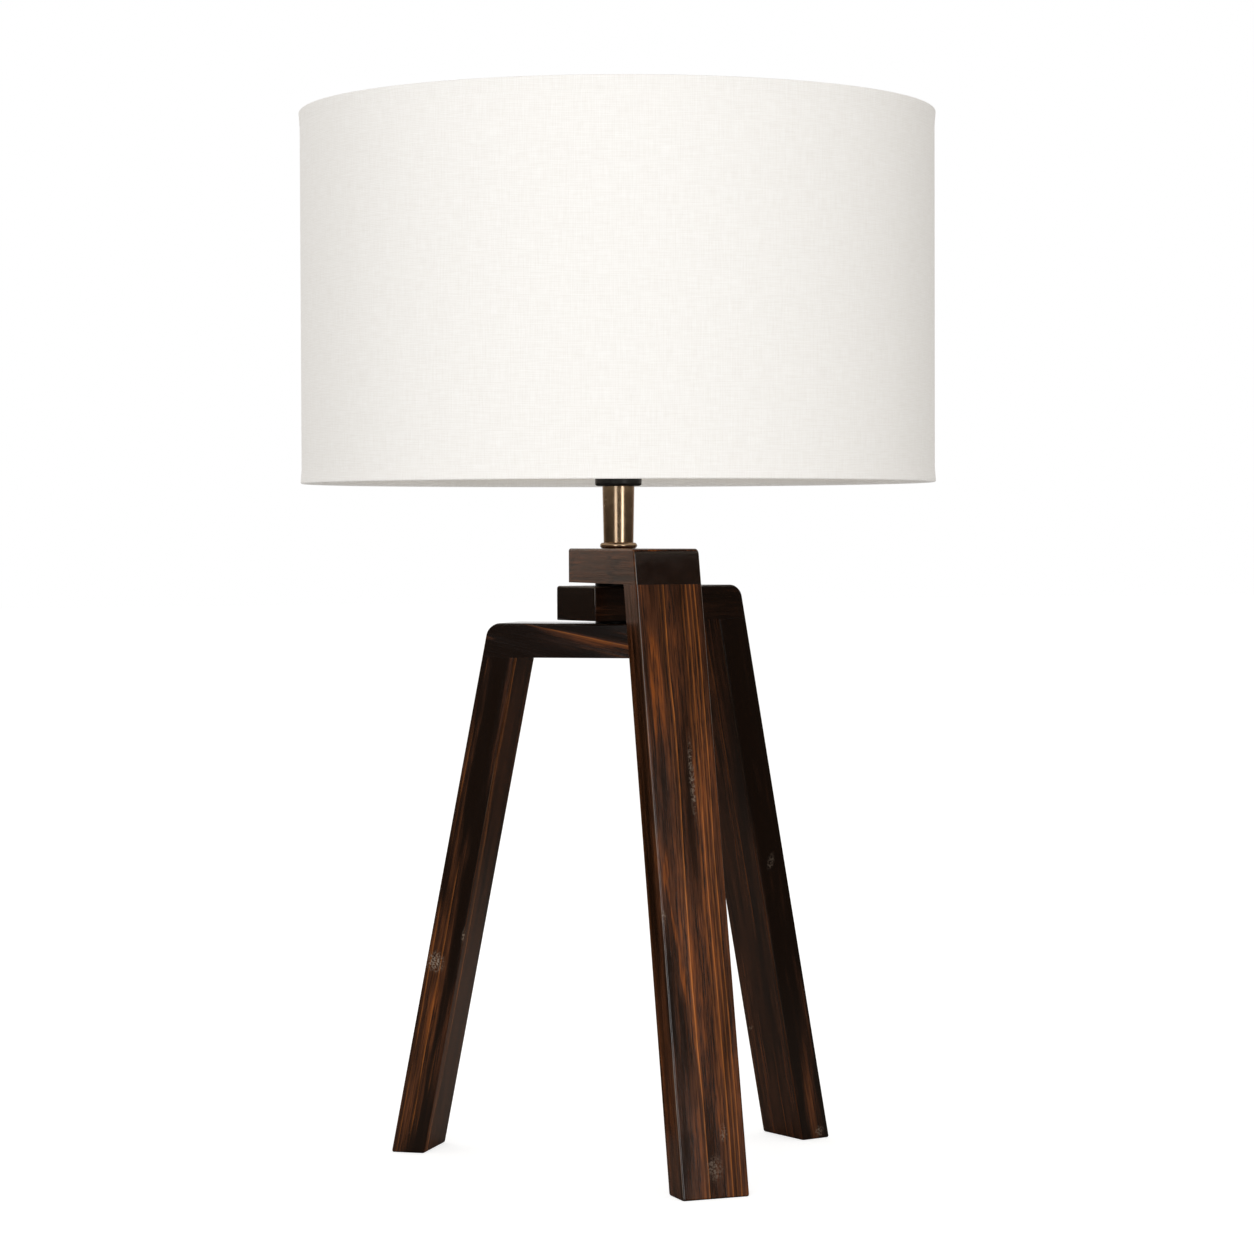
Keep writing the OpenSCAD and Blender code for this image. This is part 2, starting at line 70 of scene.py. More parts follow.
# %% [markdown]
# ## The camera
#
# The photograph is square and was taken with a long lens from about two metres, which keeps
# upright edges nearly parallel. It shows the hub from just above and the shade's lower edge
# from just below, so the camera stands a centimetre above the hub. The place could be found by
# eye, but here it was worked out from where the rims, the arms and the feet lie in the
# picture. The studio is turned round the lamp, so that the front leg points to the right.

# %% Camera
PHOTO_PIXELS = 1254
FOCAL_PIXELS = 3526.5
SENSOR_MM = 36.0
FRONT_LEG_TURN = math.radians(21.24)
CAMERA_DISTANCE = 1.952
CAMERA_HEIGHT = 0.348
CAMERA_SIDESTEP = -0.0068
CAMERA_PAN = math.radians(0.332)
CAMERA_PITCH = math.radians(-1.572)
CAMERA_ROLL = math.radians(-0.192)

studio_turn = Matrix.Rotation(-FRONT_LEG_TURN, 4, "Z")
aim = Vector((
    math.sin(CAMERA_PAN) * math.cos(CAMERA_PITCH),
    math.cos(CAMERA_PAN) * math.cos(CAMERA_PITCH),
    math.sin(CAMERA_PITCH),
))
aim_turn = (studio_turn.to_3x3() @ aim).to_track_quat("-Z", "Y")
camera_data = bpy.data.cameras.new("photo_camera")
camera_data.sensor_width = SENSOR_MM
camera_data.lens = FOCAL_PIXELS / PHOTO_PIXELS * SENSOR_MM
camera = bpy.data.objects.new("photo_camera", camera_data)
camera.location = studio_turn @ Vector((CAMERA_SIDESTEP, -CAMERA_DISTANCE, CAMERA_HEIGHT))
camera.rotation_mode = "QUATERNION"
camera.rotation_quaternion = aim_turn @ Quaternion((0, 0, 1), CAMERA_ROLL)
bpy.context.scene.collection.objects.link(camera)
bpy.context.scene.camera = camera
bpy.context.scene.view_settings.view_transform = "Standard"
print("lens:", round(camera_data.lens, 1), "mm")

# %% [markdown]
# ## A few small tools
#
# Colours are written as the eye picks them from a screen, in sRGB hex, but a renderer adds up
# light in linear numbers. One function turns the first into the second. Materials could be
# written out line by line, with each node made, set and linked in turn. One function that adds
# a node with its settings and links keeps them short enough to be read.


# %% Colour and node helpers
def colour(hex_code):
    """Linear colour of an sRGB hex code."""
    channels = [int(hex_code[i:i + 2], 16) / 255 for i in (1, 3, 5)]
    linear = [c / 12.92 if c <= 0.04045 else ((c + 0.055) / 1.055) ** 2.4 for c in channels]
    return (*linear, 1.0)


def feed(tree, target, **inputs):
    """Fills a node's inputs with plain values or other nodes' output sockets. Spaces in an
    input's name are written as underscores, and a numbered input as n0, n1 and so on."""
    for key, value in inputs.items():
        numbered = key[0] == "n" and key[1:].isdigit()
        socket = target.inputs[int(key[1:]) if numbered else key.replace("_", " ")]
        if isinstance(value, bpy.types.NodeSocket):
            tree.links.new(value, socket)
        else:
            socket.default_value = value


def node(tree, kind, settings=None, stops=(), **inputs):
    """Adds a node with its settings and inputs. The stops of a colour ramp are (place, grey
    level or colour)."""
    made = tree.nodes.new(kind)
    for key, value in (settings or {}).items():
        setattr(made, key, value)
    if stops:
        elements = made.color_ramp.elements
        while len(elements) < len(stops):
            elements.new(1.0)
        for element, (place, value) in zip(elements, stops):
            element.position = place
            element.color = value if isinstance(value, tuple) else (value, value, value, 1)
    feed(tree, made, **inputs)
    return made


def new_material(name):
    """An empty material with its node tree and its shader, ready for a pattern."""
    made = bpy.data.materials.new(name)
    made.use_nodes = True
    tree = made.node_tree
    return made, tree, tree.nodes["Principled BSDF"]


print("a grey of #808080 is", round(colour("#808080")[0], 3), "in linear light")

# %% [markdown]
# ## The studio
#
# The backdrop in the photograph is pure white, yet the lacquer shows a dim room in front of
# the lamp. A painted dome could show both, but its light would also wash over the wood. So
# the world answers each kind of ray in its own way. A camera ray finds white, and so does one
# that passed through glass. A glossy ray finds white behind the lamp and a dim room on the
# camera's side, which is what makes brass look like brass. A diffuse ray finds an even warm
# grey, the room's fill light.

# %% World
FILL_LIGHT = (0.67, 0.653, 0.626, 1)
DIM_ROOM = (0.066, 0.053, 0.044)
ROOM_GAINS = (1.0, 2.0, 7.0)
WHITE = (1, 1, 1, 1)

world = bpy.data.worlds.new("studio")
bpy.context.scene.world = world
world.use_nodes = True
tree = world.node_tree
path = node(tree, "ShaderNodeLightPath")
direction = node(tree, "ShaderNodeTexCoord")
away_from_camera = studio_turn.to_3x3() @ Vector((0, 1, 0))
facing = node(tree, "ShaderNodeVectorMath", {"operation": "DOT_PRODUCT"},
              n0=direction.outputs["Generated"], n1=away_from_camera)
dim, dusky, pale = [tuple(gain * c for c in DIM_ROOM) + (1,) for gain in ROOM_GAINS]
room = node(tree, "ShaderNodeValToRGB", Fac=facing.outputs["Value"],
            stops=[(0.0, dim), (0.5, dusky), (0.78, pale), (0.97, WHITE)])
mirrored = node(tree, "ShaderNodeMix", {"data_type": "RGBA"},
                Factor=path.outputs["Is Glossy Ray"], n6=FILL_LIGHT, n7=room.outputs["Color"])
seen = node(tree, "ShaderNodeMath", {"operation": "MAXIMUM"},
            n0=path.outputs["Is Camera Ray"], n1=path.outputs["Is Transmission Ray"])
shown = node(tree, "ShaderNodeMix", {"data_type": "RGBA"}, Factor=seen.outputs[0],
             n6=mirrored.outputs[2], n7=WHITE)
feed(tree, tree.nodes["Background"], Color=shown.outputs[2])
print("fill light:", FILL_LIGHT[:3], "and dim room:", DIM_ROOM)

# %% [markdown]
# ## The floor
#
# A paper floor under studio lamps is almost white, and only the soft contact shadow under
# each foot shows where it is. More light would bring it to white, but would bleach the shade.
# So for the camera the floor glows, over a grey diffuse part that takes the shadow. Bounced
# light finds pale paper. The lacquer finds a floor that is grey round the feet and fades into
# the dim room, because a white one in it would hide the stain.

# %% Floor
FLOOR_HALF = 14.0
PAPER_ALBEDO = (0.78, 0.78, 0.78, 1)
NEAR_PAPER = (0.14, 0.128, 0.117, 1)
FAR_PAPER = (0.04, 0.037, 0.034, 1)
LIT_REACH = (0.3, 1.0)
SHADOW_ALBEDO = (0.5, 0.5, 0.5, 1)
GLOW = 0.72

bm = bmesh.new()
bmesh.ops.create_grid(bm, x_segments=1, y_segments=1, size=FLOOR_HALF)
floor_mesh = bpy.data.meshes.new("paper_floor")
bm.to_mesh(floor_mesh)
bm.free()
floor = bpy.data.objects.new("paper_floor", floor_mesh)
bpy.context.scene.collection.objects.link(floor)

paper, tree, shader = new_material("paper_floor")
path = node(tree, "ShaderNodeLightPath")
spot = node(tree, "ShaderNodeTexCoord")
reach = node(tree, "ShaderNodeVectorMath", {"operation": "LENGTH"}, n0=spot.outputs["Object"])
fading = node(tree, "ShaderNodeMapRange", {"interpolation_type": "SMOOTHSTEP"},
              Value=reach.outputs["Value"], From_Min=LIT_REACH[0], From_Max=LIT_REACH[1])
mirrored = node(tree, "ShaderNodeMix", {"data_type": "RGBA"}, Factor=fading.outputs["Result"],
                n6=NEAR_PAPER, n7=FAR_PAPER)
albedo = node(tree, "ShaderNodeMix", {"data_type": "RGBA"},
              Factor=path.outputs["Is Glossy Ray"], n6=PAPER_ALBEDO, n7=mirrored.outputs[2])
plain = node(tree, "ShaderNodeBsdfDiffuse", Color=albedo.outputs[2])
shaded = node(tree, "ShaderNodeBsdfDiffuse", Color=SHADOW_ALBEDO)
glow = node(tree, "ShaderNodeEmission", Strength=GLOW)
lit = node(tree, "ShaderNodeAddShader", n0=shaded.outputs[0], n1=glow.outputs[0])
seen = node(tree, "ShaderNodeMath", {"operation": "MAXIMUM"},
            n0=path.outputs["Is Camera Ray"], n1=path.outputs["Is Transmission Ray"])
mixed = node(tree, "ShaderNodeMixShader", n0=seen.outputs[0],
             n1=plain.outputs[0], n2=lit.outputs[0])
feed(tree, tree.nodes["Material Output"], Surface=mixed.outputs[0])
tree.nodes.remove(shader)
floor_mesh.materials.append(paper)
floor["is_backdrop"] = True
print("floor:", 2 * FLOOR_HALF, "m square")

# %% [markdown]
# ## The lamps
#
# The brass tube tells where the lamps stood, because a curved mirror squeezes each of them
# into a bright upright line. Sun or spot lamps would leave hard shadows that the photograph
# doesn't have, so these are large area lamps. A tall softbox of cool daylight stands to the
# left of the camera and a smaller one low to its right. A third stands behind the lamp, to
# the left, and lights what faces away from the camera.

# %% Softboxes
LAMP_DISTANCE = 2.4
DAYLIGHT = (0.97, 0.985, 1.0)


def softbox(name, turn, width, height, centre_z, irradiance, tint=(1, 1, 1)):
    """A soft lamp that lights a white surface facing it to the given level. turn is in
    degrees round the lamp from the camera's side, to the right."""
    data = bpy.data.lights.new(name, "AREA")
    data.shape = "RECTANGLE"
    data.size = width
    data.size_y = height
    solid_angle = width * height / LAMP_DISTANCE ** 2
    radiance = irradiance * math.pi / solid_angle
    data.energy = radiance * math.pi * width * height
    data.color = tint
    made = bpy.data.objects.new(name, data)
    place = Matrix.Rotation(math.radians(turn), 3, "Z") @ Vector((0, -LAMP_DISTANCE, 0))
    made.location = studio_turn @ (place + Vector((0, 0, centre_z)))
    look = studio_turn.to_3x3() @ Vector((-place.x, -place.y, 0))
    made.rotation_euler = look.to_track_quat("-Z", "Y").to_euler()
    bpy.context.scene.collection.objects.link(made)
    print(name, "radiance", round(radiance, 2))


softbox("key_softbox", turn=-19, width=0.66, height=1.7, centre_z=1.15, irradiance=0.327,
        tint=DAYLIGHT)
softbox("side_softbox", turn=30, width=0.58, height=0.9, centre_z=0.50, irradiance=0.13)
softbox("rear_softbox", turn=-150, width=1.2, height=1.2, centre_z=1.5, irradiance=0.18)

# %% [markdown]
# ## Dark stained pine
#
# The legs are planed pine under walnut stain and a satin-gloss lacquer. Pine is built of
# rings: wide soft earlywood that drinks the stain and goes almost black, and thin hard
# latewood that refuses it and stays orange. Stripes drawn on each face would be simpler, but
# they would break at every edge. So the pattern is made as the tree made it, in the solid, in
# the plank's own millimetres. Everything below starts from two shapes: noise that is
# stretched along the grain, and a soft mark at a chosen place.

# %% Noise and marks in a plank
SEED_STEP = (7.3, 3.1, 1.7)
MARK_CORE = 0.25


def stretched_noise(tree, local, seed, size_mm, detail=3.0, rough=0.55):
    """Noise whose grains are so many mm wide across the grain and long along it."""
    across, along = size_mm
    scaled = node(tree, "ShaderNodeMapping", Vector=local,
                  Location=tuple(seed * step for step in SEED_STEP),
                  Scale=(1 / across, 1 / across, 1 / along))
    return node(tree, "ShaderNodeTexNoise", Vector=scaled.outputs[0], Scale=1.0,
                Detail=detail, Roughness=rough)


def mark(tree, local, centre, half, turn=(0, 0, 0)):
    """1 at a place in the plank and 0 outside an ellipsoid round it, in the plank's mm."""
    placed = node(tree, "ShaderNodeMapping", {"vector_type": "TEXTURE"}, Vector=local,
                  Location=centre, Rotation=turn, Scale=half)
    far = node(tree, "ShaderNodeVectorMath", {"operation": "LENGTH"}, n0=placed.outputs[0])
    near = node(tree, "ShaderNodeMapRange", {"interpolation_type": "SMOOTHSTEP"},
                Value=far.outputs["Value"], From_Min=MARK_CORE, To_Min=1.0, To_Max=0.0)
    return near.outputs["Result"]


print("a mark fades from", MARK_CORE, "of its size to its rim")

# %% [markdown]
# ### Rings of the tree
#
# A pith lies outside the plank, and the distance from it, cut into years, gives the rings.
# That draws parallel lines on one face and flames on another, as sawing a trunk does. A slow
# noise and a little tremble bend them first, because no tree grows quite round.

# %% Rings
WANDER_MM = 7.0
WANDER_SIZE = (45, 210)
TREMBLE_MM = 0.7
TREMBLE_SIZE = (7, 60)
YEAR = [(0.0, 0.3), (0.08, 0.0), (0.45, 0.0), (0.76, 0.30), (0.84, 1.0), (0.96, 1.0),
        (1.0, 0.3)]
LUCK_RANGE = (0.35, 0.95)


def tree_rings(tree, grain, seed, pith, ring_pitch, lines):
    """Strength of the latewood lines, from 0 in spring to its most in autumn."""
    slow = stretched_noise(tree, grain, seed, WANDER_SIZE, detail=2.0)
    tremble = stretched_noise(tree, grain, seed + 1, TREMBLE_SIZE)
    bent = grain
    for noise, sway in ((slow, WANDER_MM), (tremble, TREMBLE_MM)):
        bent = node(tree, "ShaderNodeVectorMath", {"operation": "MULTIPLY_ADD"},
                    n0=noise.outputs["Color"], n1=(sway, sway, 0.0), n2=bent).outputs[0]
    # the noise is about a half on average, which would shift the pith
    shift = (WANDER_MM + TREMBLE_MM) / 2
    from_pith = node(tree, "ShaderNodeVectorMath", {"operation": "SUBTRACT"}, n0=bent,
                     n1=(pith[0] + shift, pith[1] + shift, 0.0))
    across = node(tree, "ShaderNodeVectorMath", {"operation": "MULTIPLY"},
                  n0=from_pith.outputs[0], n1=(1.0, 1.0, 0.0))
    radius = node(tree, "ShaderNodeVectorMath", {"operation": "LENGTH"}, n0=across.outputs[0])
    years = node(tree, "ShaderNodeMath", {"operation": "DIVIDE"}, n0=radius.outputs["Value"],
                 n1=ring_pitch)
    season = node(tree, "ShaderNodeMath", {"operation": "FRACT"}, n0=years.outputs[0])
    year = node(tree, "ShaderNodeMath", {"operation": "FLOOR"}, n0=years.outputs[0])
    # two years in three leave a line that shows, and a few of them a strong one
    luck = node(tree, "ShaderNodeTexWhiteNoise", {"noise_dimensions": "1D"},
                W=year.outputs[0])
    strong = node(tree, "ShaderNodeMapRange", Value=luck.outputs["Value"],
                  From_Min=LUCK_RANGE[0], From_Max=LUCK_RANGE[1], To_Max=lines)
    ring = node(tree, "ShaderNodeValToRGB", stops=YEAR, Fac=season.outputs[0])
    return node(tree, "ShaderNodeMath", {"operation": "MULTIPLY"}, n0=ring.outputs["Color"],
                n1=strong.outputs["Result"]).outputs[0]


print("a ring wanders by up to", WANDER_MM + TREMBLE_MM, "mm")

# %% [markdown]
# ### Fibres and stain
#
# The wood's cells are tubes along the grain. Bundles of them soak up the stain as dark
# streaks, and thinner ones let the wood shine through. Real fibres are finer than a pixel
# here, so the fine ones are drawn 0.75 mm wide to show. How much wood shows at all changes
# slowly along the plank. It could be left to chance, but the eye compares the large light and
# dark places first, so these are marks placed one by one, feathered out along the broad
# fibres.

# %% Fibres and warmth
FINE_FIBRE = (0.75, 14)
BROAD_FIBRE = (2.4, 85)
FIBRE_STOPS = [(0.42, 0.0), (0.60, 1.0)]
FINE_SHARE = 0.45
ZONE_SIZE = (9, 100)
ZONE_RANGE = (0.3, 0.7)
ZONE_SWING = 0.5
EVEN_PULL = 0.5
FEATHER_MM = 14.0


def wood_fibres(tree, grain, seed):
    """The broad fibres, and the broad and fine ones together. 1 is where stain is thin."""
    kinds = []
    for step, size_mm in ((2, FINE_FIBRE), (3, BROAD_FIBRE)):
        noise = stretched_noise(tree, grain, seed + step, size_mm, rough=0.62)
        kinds.append(node(tree, "ShaderNodeValToRGB", stops=FIBRE_STOPS,
                          Fac=noise.outputs["Fac"]).outputs["Color"])
    fine, broad = kinds
    both = node(tree, "ShaderNodeMix", Factor=FINE_SHARE, A=broad, B=fine)
    return broad, both.outputs["Result"]


def stain_warmth(tree, local, zones, broad, warmth, lean, even, marks):
    """How much wood shows through: a slow pattern, pulled to an even level in some places,
    plus the listed marks."""
    warm = node(tree, "ShaderNodeMapRange", Value=zones, From_Min=ZONE_RANGE[0],
                From_Max=ZONE_RANGE[1], To_Min=warmth - ZONE_SWING,
                To_Max=warmth + ZONE_SWING).outputs["Result"]
    for level, centre, half in even:
        here = mark(tree, local, centre, half)
        pull = node(tree, "ShaderNodeMath", {"operation": "MULTIPLY"}, n0=here, n1=EVEN_PULL)
        warm = node(tree, "ShaderNodeMix", Factor=pull.outputs[0], A=warm,
                    B=level).outputs["Result"]
    feathered = node(tree, "ShaderNodeVectorMath", {"operation": "MULTIPLY_ADD"},
                     n0=broad, n1=(0.0, -lean * FEATHER_MM, FEATHER_MM), n2=local).outputs[0]
    for gain, *where in marks:
        here = mark(tree, feathered, *where)
        warm = node(tree, "ShaderNodeMath", {"operation": "MULTIPLY_ADD"}, n0=here, n1=gain,
                    n2=warm).outputs[0]
    return warm


print("fibres:", FINE_FIBRE[0], "and", BROAD_FIBRE[0], "mm wide")

# %% [markdown]
# ### Colours of the stained wood
#
# One brown mixed with one black looks like plastic. Stained pine has three colours over the
# black, and they come up one after another where the stain gets thinner: the brown ground,
# the orange latewood and the amber between its lines.

# %% Stain colours
STAIN_BLACK = colour("#160b05")
STAIN_BROWN = colour("#57311b")
AMBER = colour("#854515")
LATEWOOD = colour("#c4722b")
BROWN_COMES_UP = (-0.2, 0.55)
LINES_COME_UP = (-0.1, 0.4)
AMBER_COMES_UP = (0.4, 1.0)


def stain_colours(tree, fibres, latewood, warm):
    """Black wood, and over it brown, amber and the latewood lines, by the warmth."""
    thin_stain = node(tree, "ShaderNodeMapRange", Value=fibres, To_Min=0.12)
    shine = node(tree, "ShaderNodeMath", {"operation": "POWER"}, n0=fibres, n1=1.3)
    broken = node(tree, "ShaderNodeMapRange", Value=fibres, From_Max=0.8, To_Min=0.45)
    drawn = node(tree, "ShaderNodeMath", {"operation": "MULTIPLY"}, n0=latewood,
                 n1=broken.outputs[0])
    body = STAIN_BLACK
    for tint, (start, full), pattern in ((STAIN_BROWN, BROWN_COMES_UP, thin_stain),
                                         (AMBER, AMBER_COMES_UP, shine),
                                         (LATEWOOD, LINES_COME_UP, drawn)):
        risen = node(tree, "ShaderNodeMapRange", {"interpolation_type": "SMOOTHSTEP"},
                     Value=warm, From_Min=start, From_Max=full)
        amount = node(tree, "ShaderNodeMath", {"operation": "MULTIPLY"},
                      n0=pattern.outputs[0], n1=risen.outputs["Result"])
        body = node(tree, "ShaderNodeMix", {"data_type": "RGBA"}, Factor=amount.outputs[0],
                    n6=body, n7=tint).outputs[2]
    return body


print("stain from", [round(c, 3) for c in STAIN_BLACK[:3]], "to",
      [round(c, 3) for c in LATEWOOD[:3]])

# %% [markdown]
# ### Use and lacquer
#
# End grain drinks the most stain, so it is nearly black and hides its rings. A lamp that was
# moved about has pale knocks and edges rubbed through. They could be painted all over by
# noise, but the photograph has them in a few places, so the knocks are placed one by one, and
# the rubbing follows the eased edges, which the mesh marks. That pale line on the crests is
# partly finish gone through and partly a painted highlight. Last comes the lacquer. It mirrors
# softly, and the fibres and the harder lines under it raise it a little.

# %% Use and lacquer
END_STAIN = 0.95
SCUFF = colour("#8a7a6b")
CRUMBS_PER_MM = 0.9
CRUMB_STOPS = [(0.46, 0.0), (0.62, 1.0)]
# pale colour painted on the edges' crests: part finish gone through, part painted highlight
BARE_EDGE_AND_HIGHLIGHT = colour("#8d7a68")
RUB_AND_HIGHLIGHT_SIZE = (14, 55)
RUB_AND_HIGHLIGHT_RANGE = (0.42, 0.62)
SATIN = (0.12, 0.20)
FIBRE_RELIEF = 0.8
RELIEF_M = 0.00005


def used_surface(tree, local, body, seed, end, scuffs, wear):
    """Darkens the end grain, then lays knocks, and pale edge crests that are part finish gone
    through and part painted highlight, over the stained wood.
    """
    darker = node(tree, "ShaderNodeMath", {"operation": "MULTIPLY"}, n0=end, n1=END_STAIN)
    body = node(tree, "ShaderNodeMix", {"data_type": "RGBA"}, Factor=darker.outputs[0],
                n6=body, n7=STAIN_BLACK)
    noise = node(tree, "ShaderNodeTexNoise", Vector=local, Scale=CRUMBS_PER_MM, Detail=5.0,
                 Roughness=0.7)
    crumbs = node(tree, "ShaderNodeValToRGB", stops=CRUMB_STOPS, Fac=noise.outputs["Fac"])
    for gain, *where in scuffs:
        here = mark(tree, local, *where)
        knock = node(tree, "ShaderNodeMath", {"operation": "MULTIPLY"}, n0=here, n1=gain)
        knock = node(tree, "ShaderNodeMath", {"operation": "MULTIPLY"}, n0=knock.outputs[0],
                     n1=crumbs.outputs["Color"])
        body = node(tree, "ShaderNodeMix", {"data_type": "RGBA"}, Factor=knock.outputs[0],
                    n6=body.outputs[2], n7=SCUFF)
    # the mesh's crest faces turn pale here: part finish gone through, part painted highlight
    edge = node(tree, "ShaderNodeAttribute", {"attribute_name": "wear"})
    rub_and_highlight_noise = stretched_noise(tree, local, seed + 5, RUB_AND_HIGHLIGHT_SIZE, detail=4.0, rough=0.7)
    rubbed_and_highlight = node(tree, "ShaderNodeValToRGB", Fac=rub_and_highlight_noise.outputs["Fac"],
                  stops=[(RUB_AND_HIGHLIGHT_RANGE[0], 0.0), (RUB_AND_HIGHLIGHT_RANGE[1], wear)])
    bare_and_highlight = node(tree, "ShaderNodeMath", {"operation": "MULTIPLY"}, n0=edge.outputs["Fac"],
                n1=rubbed_and_highlight.outputs["Color"])
    return node(tree, "ShaderNodeMix", {"data_type": "RGBA"}, Factor=bare_and_highlight.outputs[0],
                n6=body.outputs[2], n7=BARE_EDGE_AND_HIGHLIGHT).outputs[2]


def lacquer(tree, shader, body, zones, fibres, latewood, end):
    """A satin-gloss film whose relief stops at the smooth end grain."""
    satin = node(tree, "ShaderNodeMapRange", Value=zones, From_Min=ZONE_RANGE[0],
                 From_Max=ZONE_RANGE[1], To_Min=SATIN[0], To_Max=SATIN[1])
    relief = node(tree, "ShaderNodeMath", {"operation": "MULTIPLY_ADD"}, n0=fibres,
                  n1=FIBRE_RELIEF, n2=latewood)
    not_end = node(tree, "ShaderNodeMapRange", Value=end, To_Min=1.0, To_Max=0.0)
    relief = node(tree, "ShaderNodeMath", {"operation": "MULTIPLY"}, n0=relief.outputs[0],
                  n1=not_end.outputs["Result"])
    bump = node(tree, "ShaderNodeBump", Strength=0.25, Distance=RELIEF_M,
                Height=relief.outputs[0])
    feed(tree, shader, Base_Color=body, Roughness=satin.outputs[0], Normal=bump.outputs[0],
         IOR=1.5)


def stained_pine(name, place, turn, pith, ring_pitch, seed, warmth, marks=(), scuffs=(),
                 even=(), lean=0.0, wear=0.3, lines=1.0):
    """Material of one plank. place and turn are the plank's own frame, whose Z is the grain.
    pith is (x, y) and ring_pitch a length, in mm. warmth says how much wood shows through the
    stain, lines how much of the latewood, wear how pale the crests of the edges are, as finish
    gone through and as a painted highlight, and lean how far the grain runs across per mm
    along. marks and scuffs are (gain, centre, half sizes) with a
    turn where they have one, and even is (level, centre, half sizes)."""
    made, tree, shader = new_material(name)
    coords = node(tree, "ShaderNodeTexCoord")
    local = node(tree, "ShaderNodeMapping", {"vector_type": "TEXTURE"},
                 Vector=coords.outputs["Object"], Location=place, Rotation=turn,
                 Scale=(MM, MM, MM)).outputs[0]
    axes = node(tree, "ShaderNodeSeparateXYZ", n0=local)
    along = node(tree, "ShaderNodeCombineXYZ", Y=axes.outputs["Z"])
    grain = node(tree, "ShaderNodeVectorMath", {"operation": "MULTIPLY_ADD"},
                 n0=along.outputs[0], n1=(0.0, lean, 0.0), n2=local).outputs[0]
    latewood = tree_rings(tree, grain, seed, pith, ring_pitch, lines)
    broad, fibres = wood_fibres(tree, grain, seed)
    zones = stretched_noise(tree, grain, seed + 4, ZONE_SIZE).outputs["Fac"]
    end = node(tree, "ShaderNodeAttribute", {"attribute_name": "end_grain"}).outputs["Fac"]
    warm = stain_warmth(tree, local, zones, broad, warmth, lean, even, marks)
    body = stain_colours(tree, fibres, latewood, warm)
    body = used_surface(tree, local, body, seed, end, scuffs, wear)
    lacquer(tree, shader, body, zones, fibres, latewood, end)
    print(name, "has", len(tree.nodes), "nodes")
    return made


# %% [markdown]
# ## Planks with eased edges
#
# A plank could be an extruded outline of the finished shape. Here it starts as a plain board,
# and is then sawn and eased in the order in which a joiner would do it, so each step has one
# size. The edges are eased because a router and sandpaper do that to the real ones, and
# because an eased edge is what catches the light.

# %% Plank sizes
PLANK_W = 0.038
PLANK_T = 0.019
SPLAY = math.radians(11.1)
ARM_REACH = 0.070

LEGS = {
    "front": {"bearing": 0.0, "tail": 0.029, "corner": 0.0035, "body": "stand"},
    "right": {"bearing": math.radians(103), "tail": 0.029, "corner": 0.008,
              "body": "right_leg_unit"},
    "left": {"bearing": math.radians(-127), "tail": 0.014, "corner": 0.008,
             "body": "left_leg_unit"},
}
for side, leg in LEGS.items():
    low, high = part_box(side + "_arm")
    leg["under"], leg["top"] = low.z, high.z
    leg["foot_reach"] = (ARM_REACH + leg["top"] * math.tan(SPLAY)
                         - PLANK_T / math.cos(SPLAY) / 2)
    print(side, "arm from", round(low.z / MM, 1), "to", round(high.z / MM, 1), "mm")

# %% Board tools
EDGE_EASE = 0.0014
SEAM_EASE = 0.0002
FOOT_EASE = 0.0012
EDGE_STEPS = 5
RIM_STEPS = 3
# crest faces turned this far from every flat side take the pale edge, part finish gone through
# and part painted highlight
CREST_TURN = math.radians(30)
END_SLOPE = 0.7


def board(width, thickness, length, matrix):
    """A plain board whose length lies along its own Z."""
    bm = bmesh.new()
    bm.faces.layers.float.new("wear")
    bm.faces.layers.float.new("end_grain")
    size = Matrix.Diagonal((width, thickness, length, 1))
    bmesh.ops.create_cube(bm, size=1.0, matrix=matrix @ size)
    return bm


def saw(bm, point, normal):
    """Cuts the mesh at a plane, takes away what the normal points at and closes the cut."""
    everything = bm.verts[:] + bm.edges[:] + bm.faces[:]
    cut = bmesh.ops.bisect_plane(bm, geom=everything, dist=1e-7, plane_co=point,
                                 plane_no=normal, clear_outer=True)
    rim = [part for part in cut["geom_cut"] if isinstance(part, bmesh.types.BMEdge)]
    bmesh.ops.contextual_create(bm, geom=rim)


def edges_where(bm, test):
    """Edges whose middle point and direction pass a test."""
    found = []
    for edge in bm.edges:
        a, b = edge.verts[0].co, edge.verts[1].co
        if test((a + b) / 2, (b - a).normalized()):
            found.append(edge)
    return found


def ease(bm, edges, width, segments, worn_and_highlighted=False):
    """Rounds edges over. When asked, the crest of the rounding, which faces none of the flat
    sides, is marked as the place where the finish wears and where a highlight is painted."""
    bm.normal_update()
    flats = [face.normal.copy() for face in bm.faces]
    rounded = bmesh.ops.bevel(bm, geom=edges, offset=width, offset_type="OFFSET",
                              segments=segments, affect="EDGES", profile=0.5, material=-1,
                              clamp_overlap=True)
    if not worn_and_highlighted:
        return
    bm.normal_update()
    wear = bm.faces.layers.float["wear"]
    for face in rounded["faces"]:
        if max(face.normal.dot(flat) for flat in flats) < math.cos(CREST_TURN):
            face[wear] = 1.0


def mark_end_grain(bm, grain):
    """Marks the faces that cut across the grain."""
    end = bm.faces.layers.float["end_grain"]
    bm.normal_update()
    for face in bm.faces:
        face[end] = 1.0 if abs(face.normal.dot(grain)) > END_SLOPE else 0.0


print("edges eased by", EDGE_EASE / MM, "mm, at the feet by", FOOT_EASE / MM)

# %% [markdown]
# ## From mesh to piece
#
# Every piece is handed over in the same way: it becomes an object at the origin, rides on its
# body and stands for its CAD node. Shading each face flat would show the facets of the
# roundings, and shading all smooth would bend the light on the flat sides. Weighted normals
# solve that: the large faces decide, and only the roundings curve.

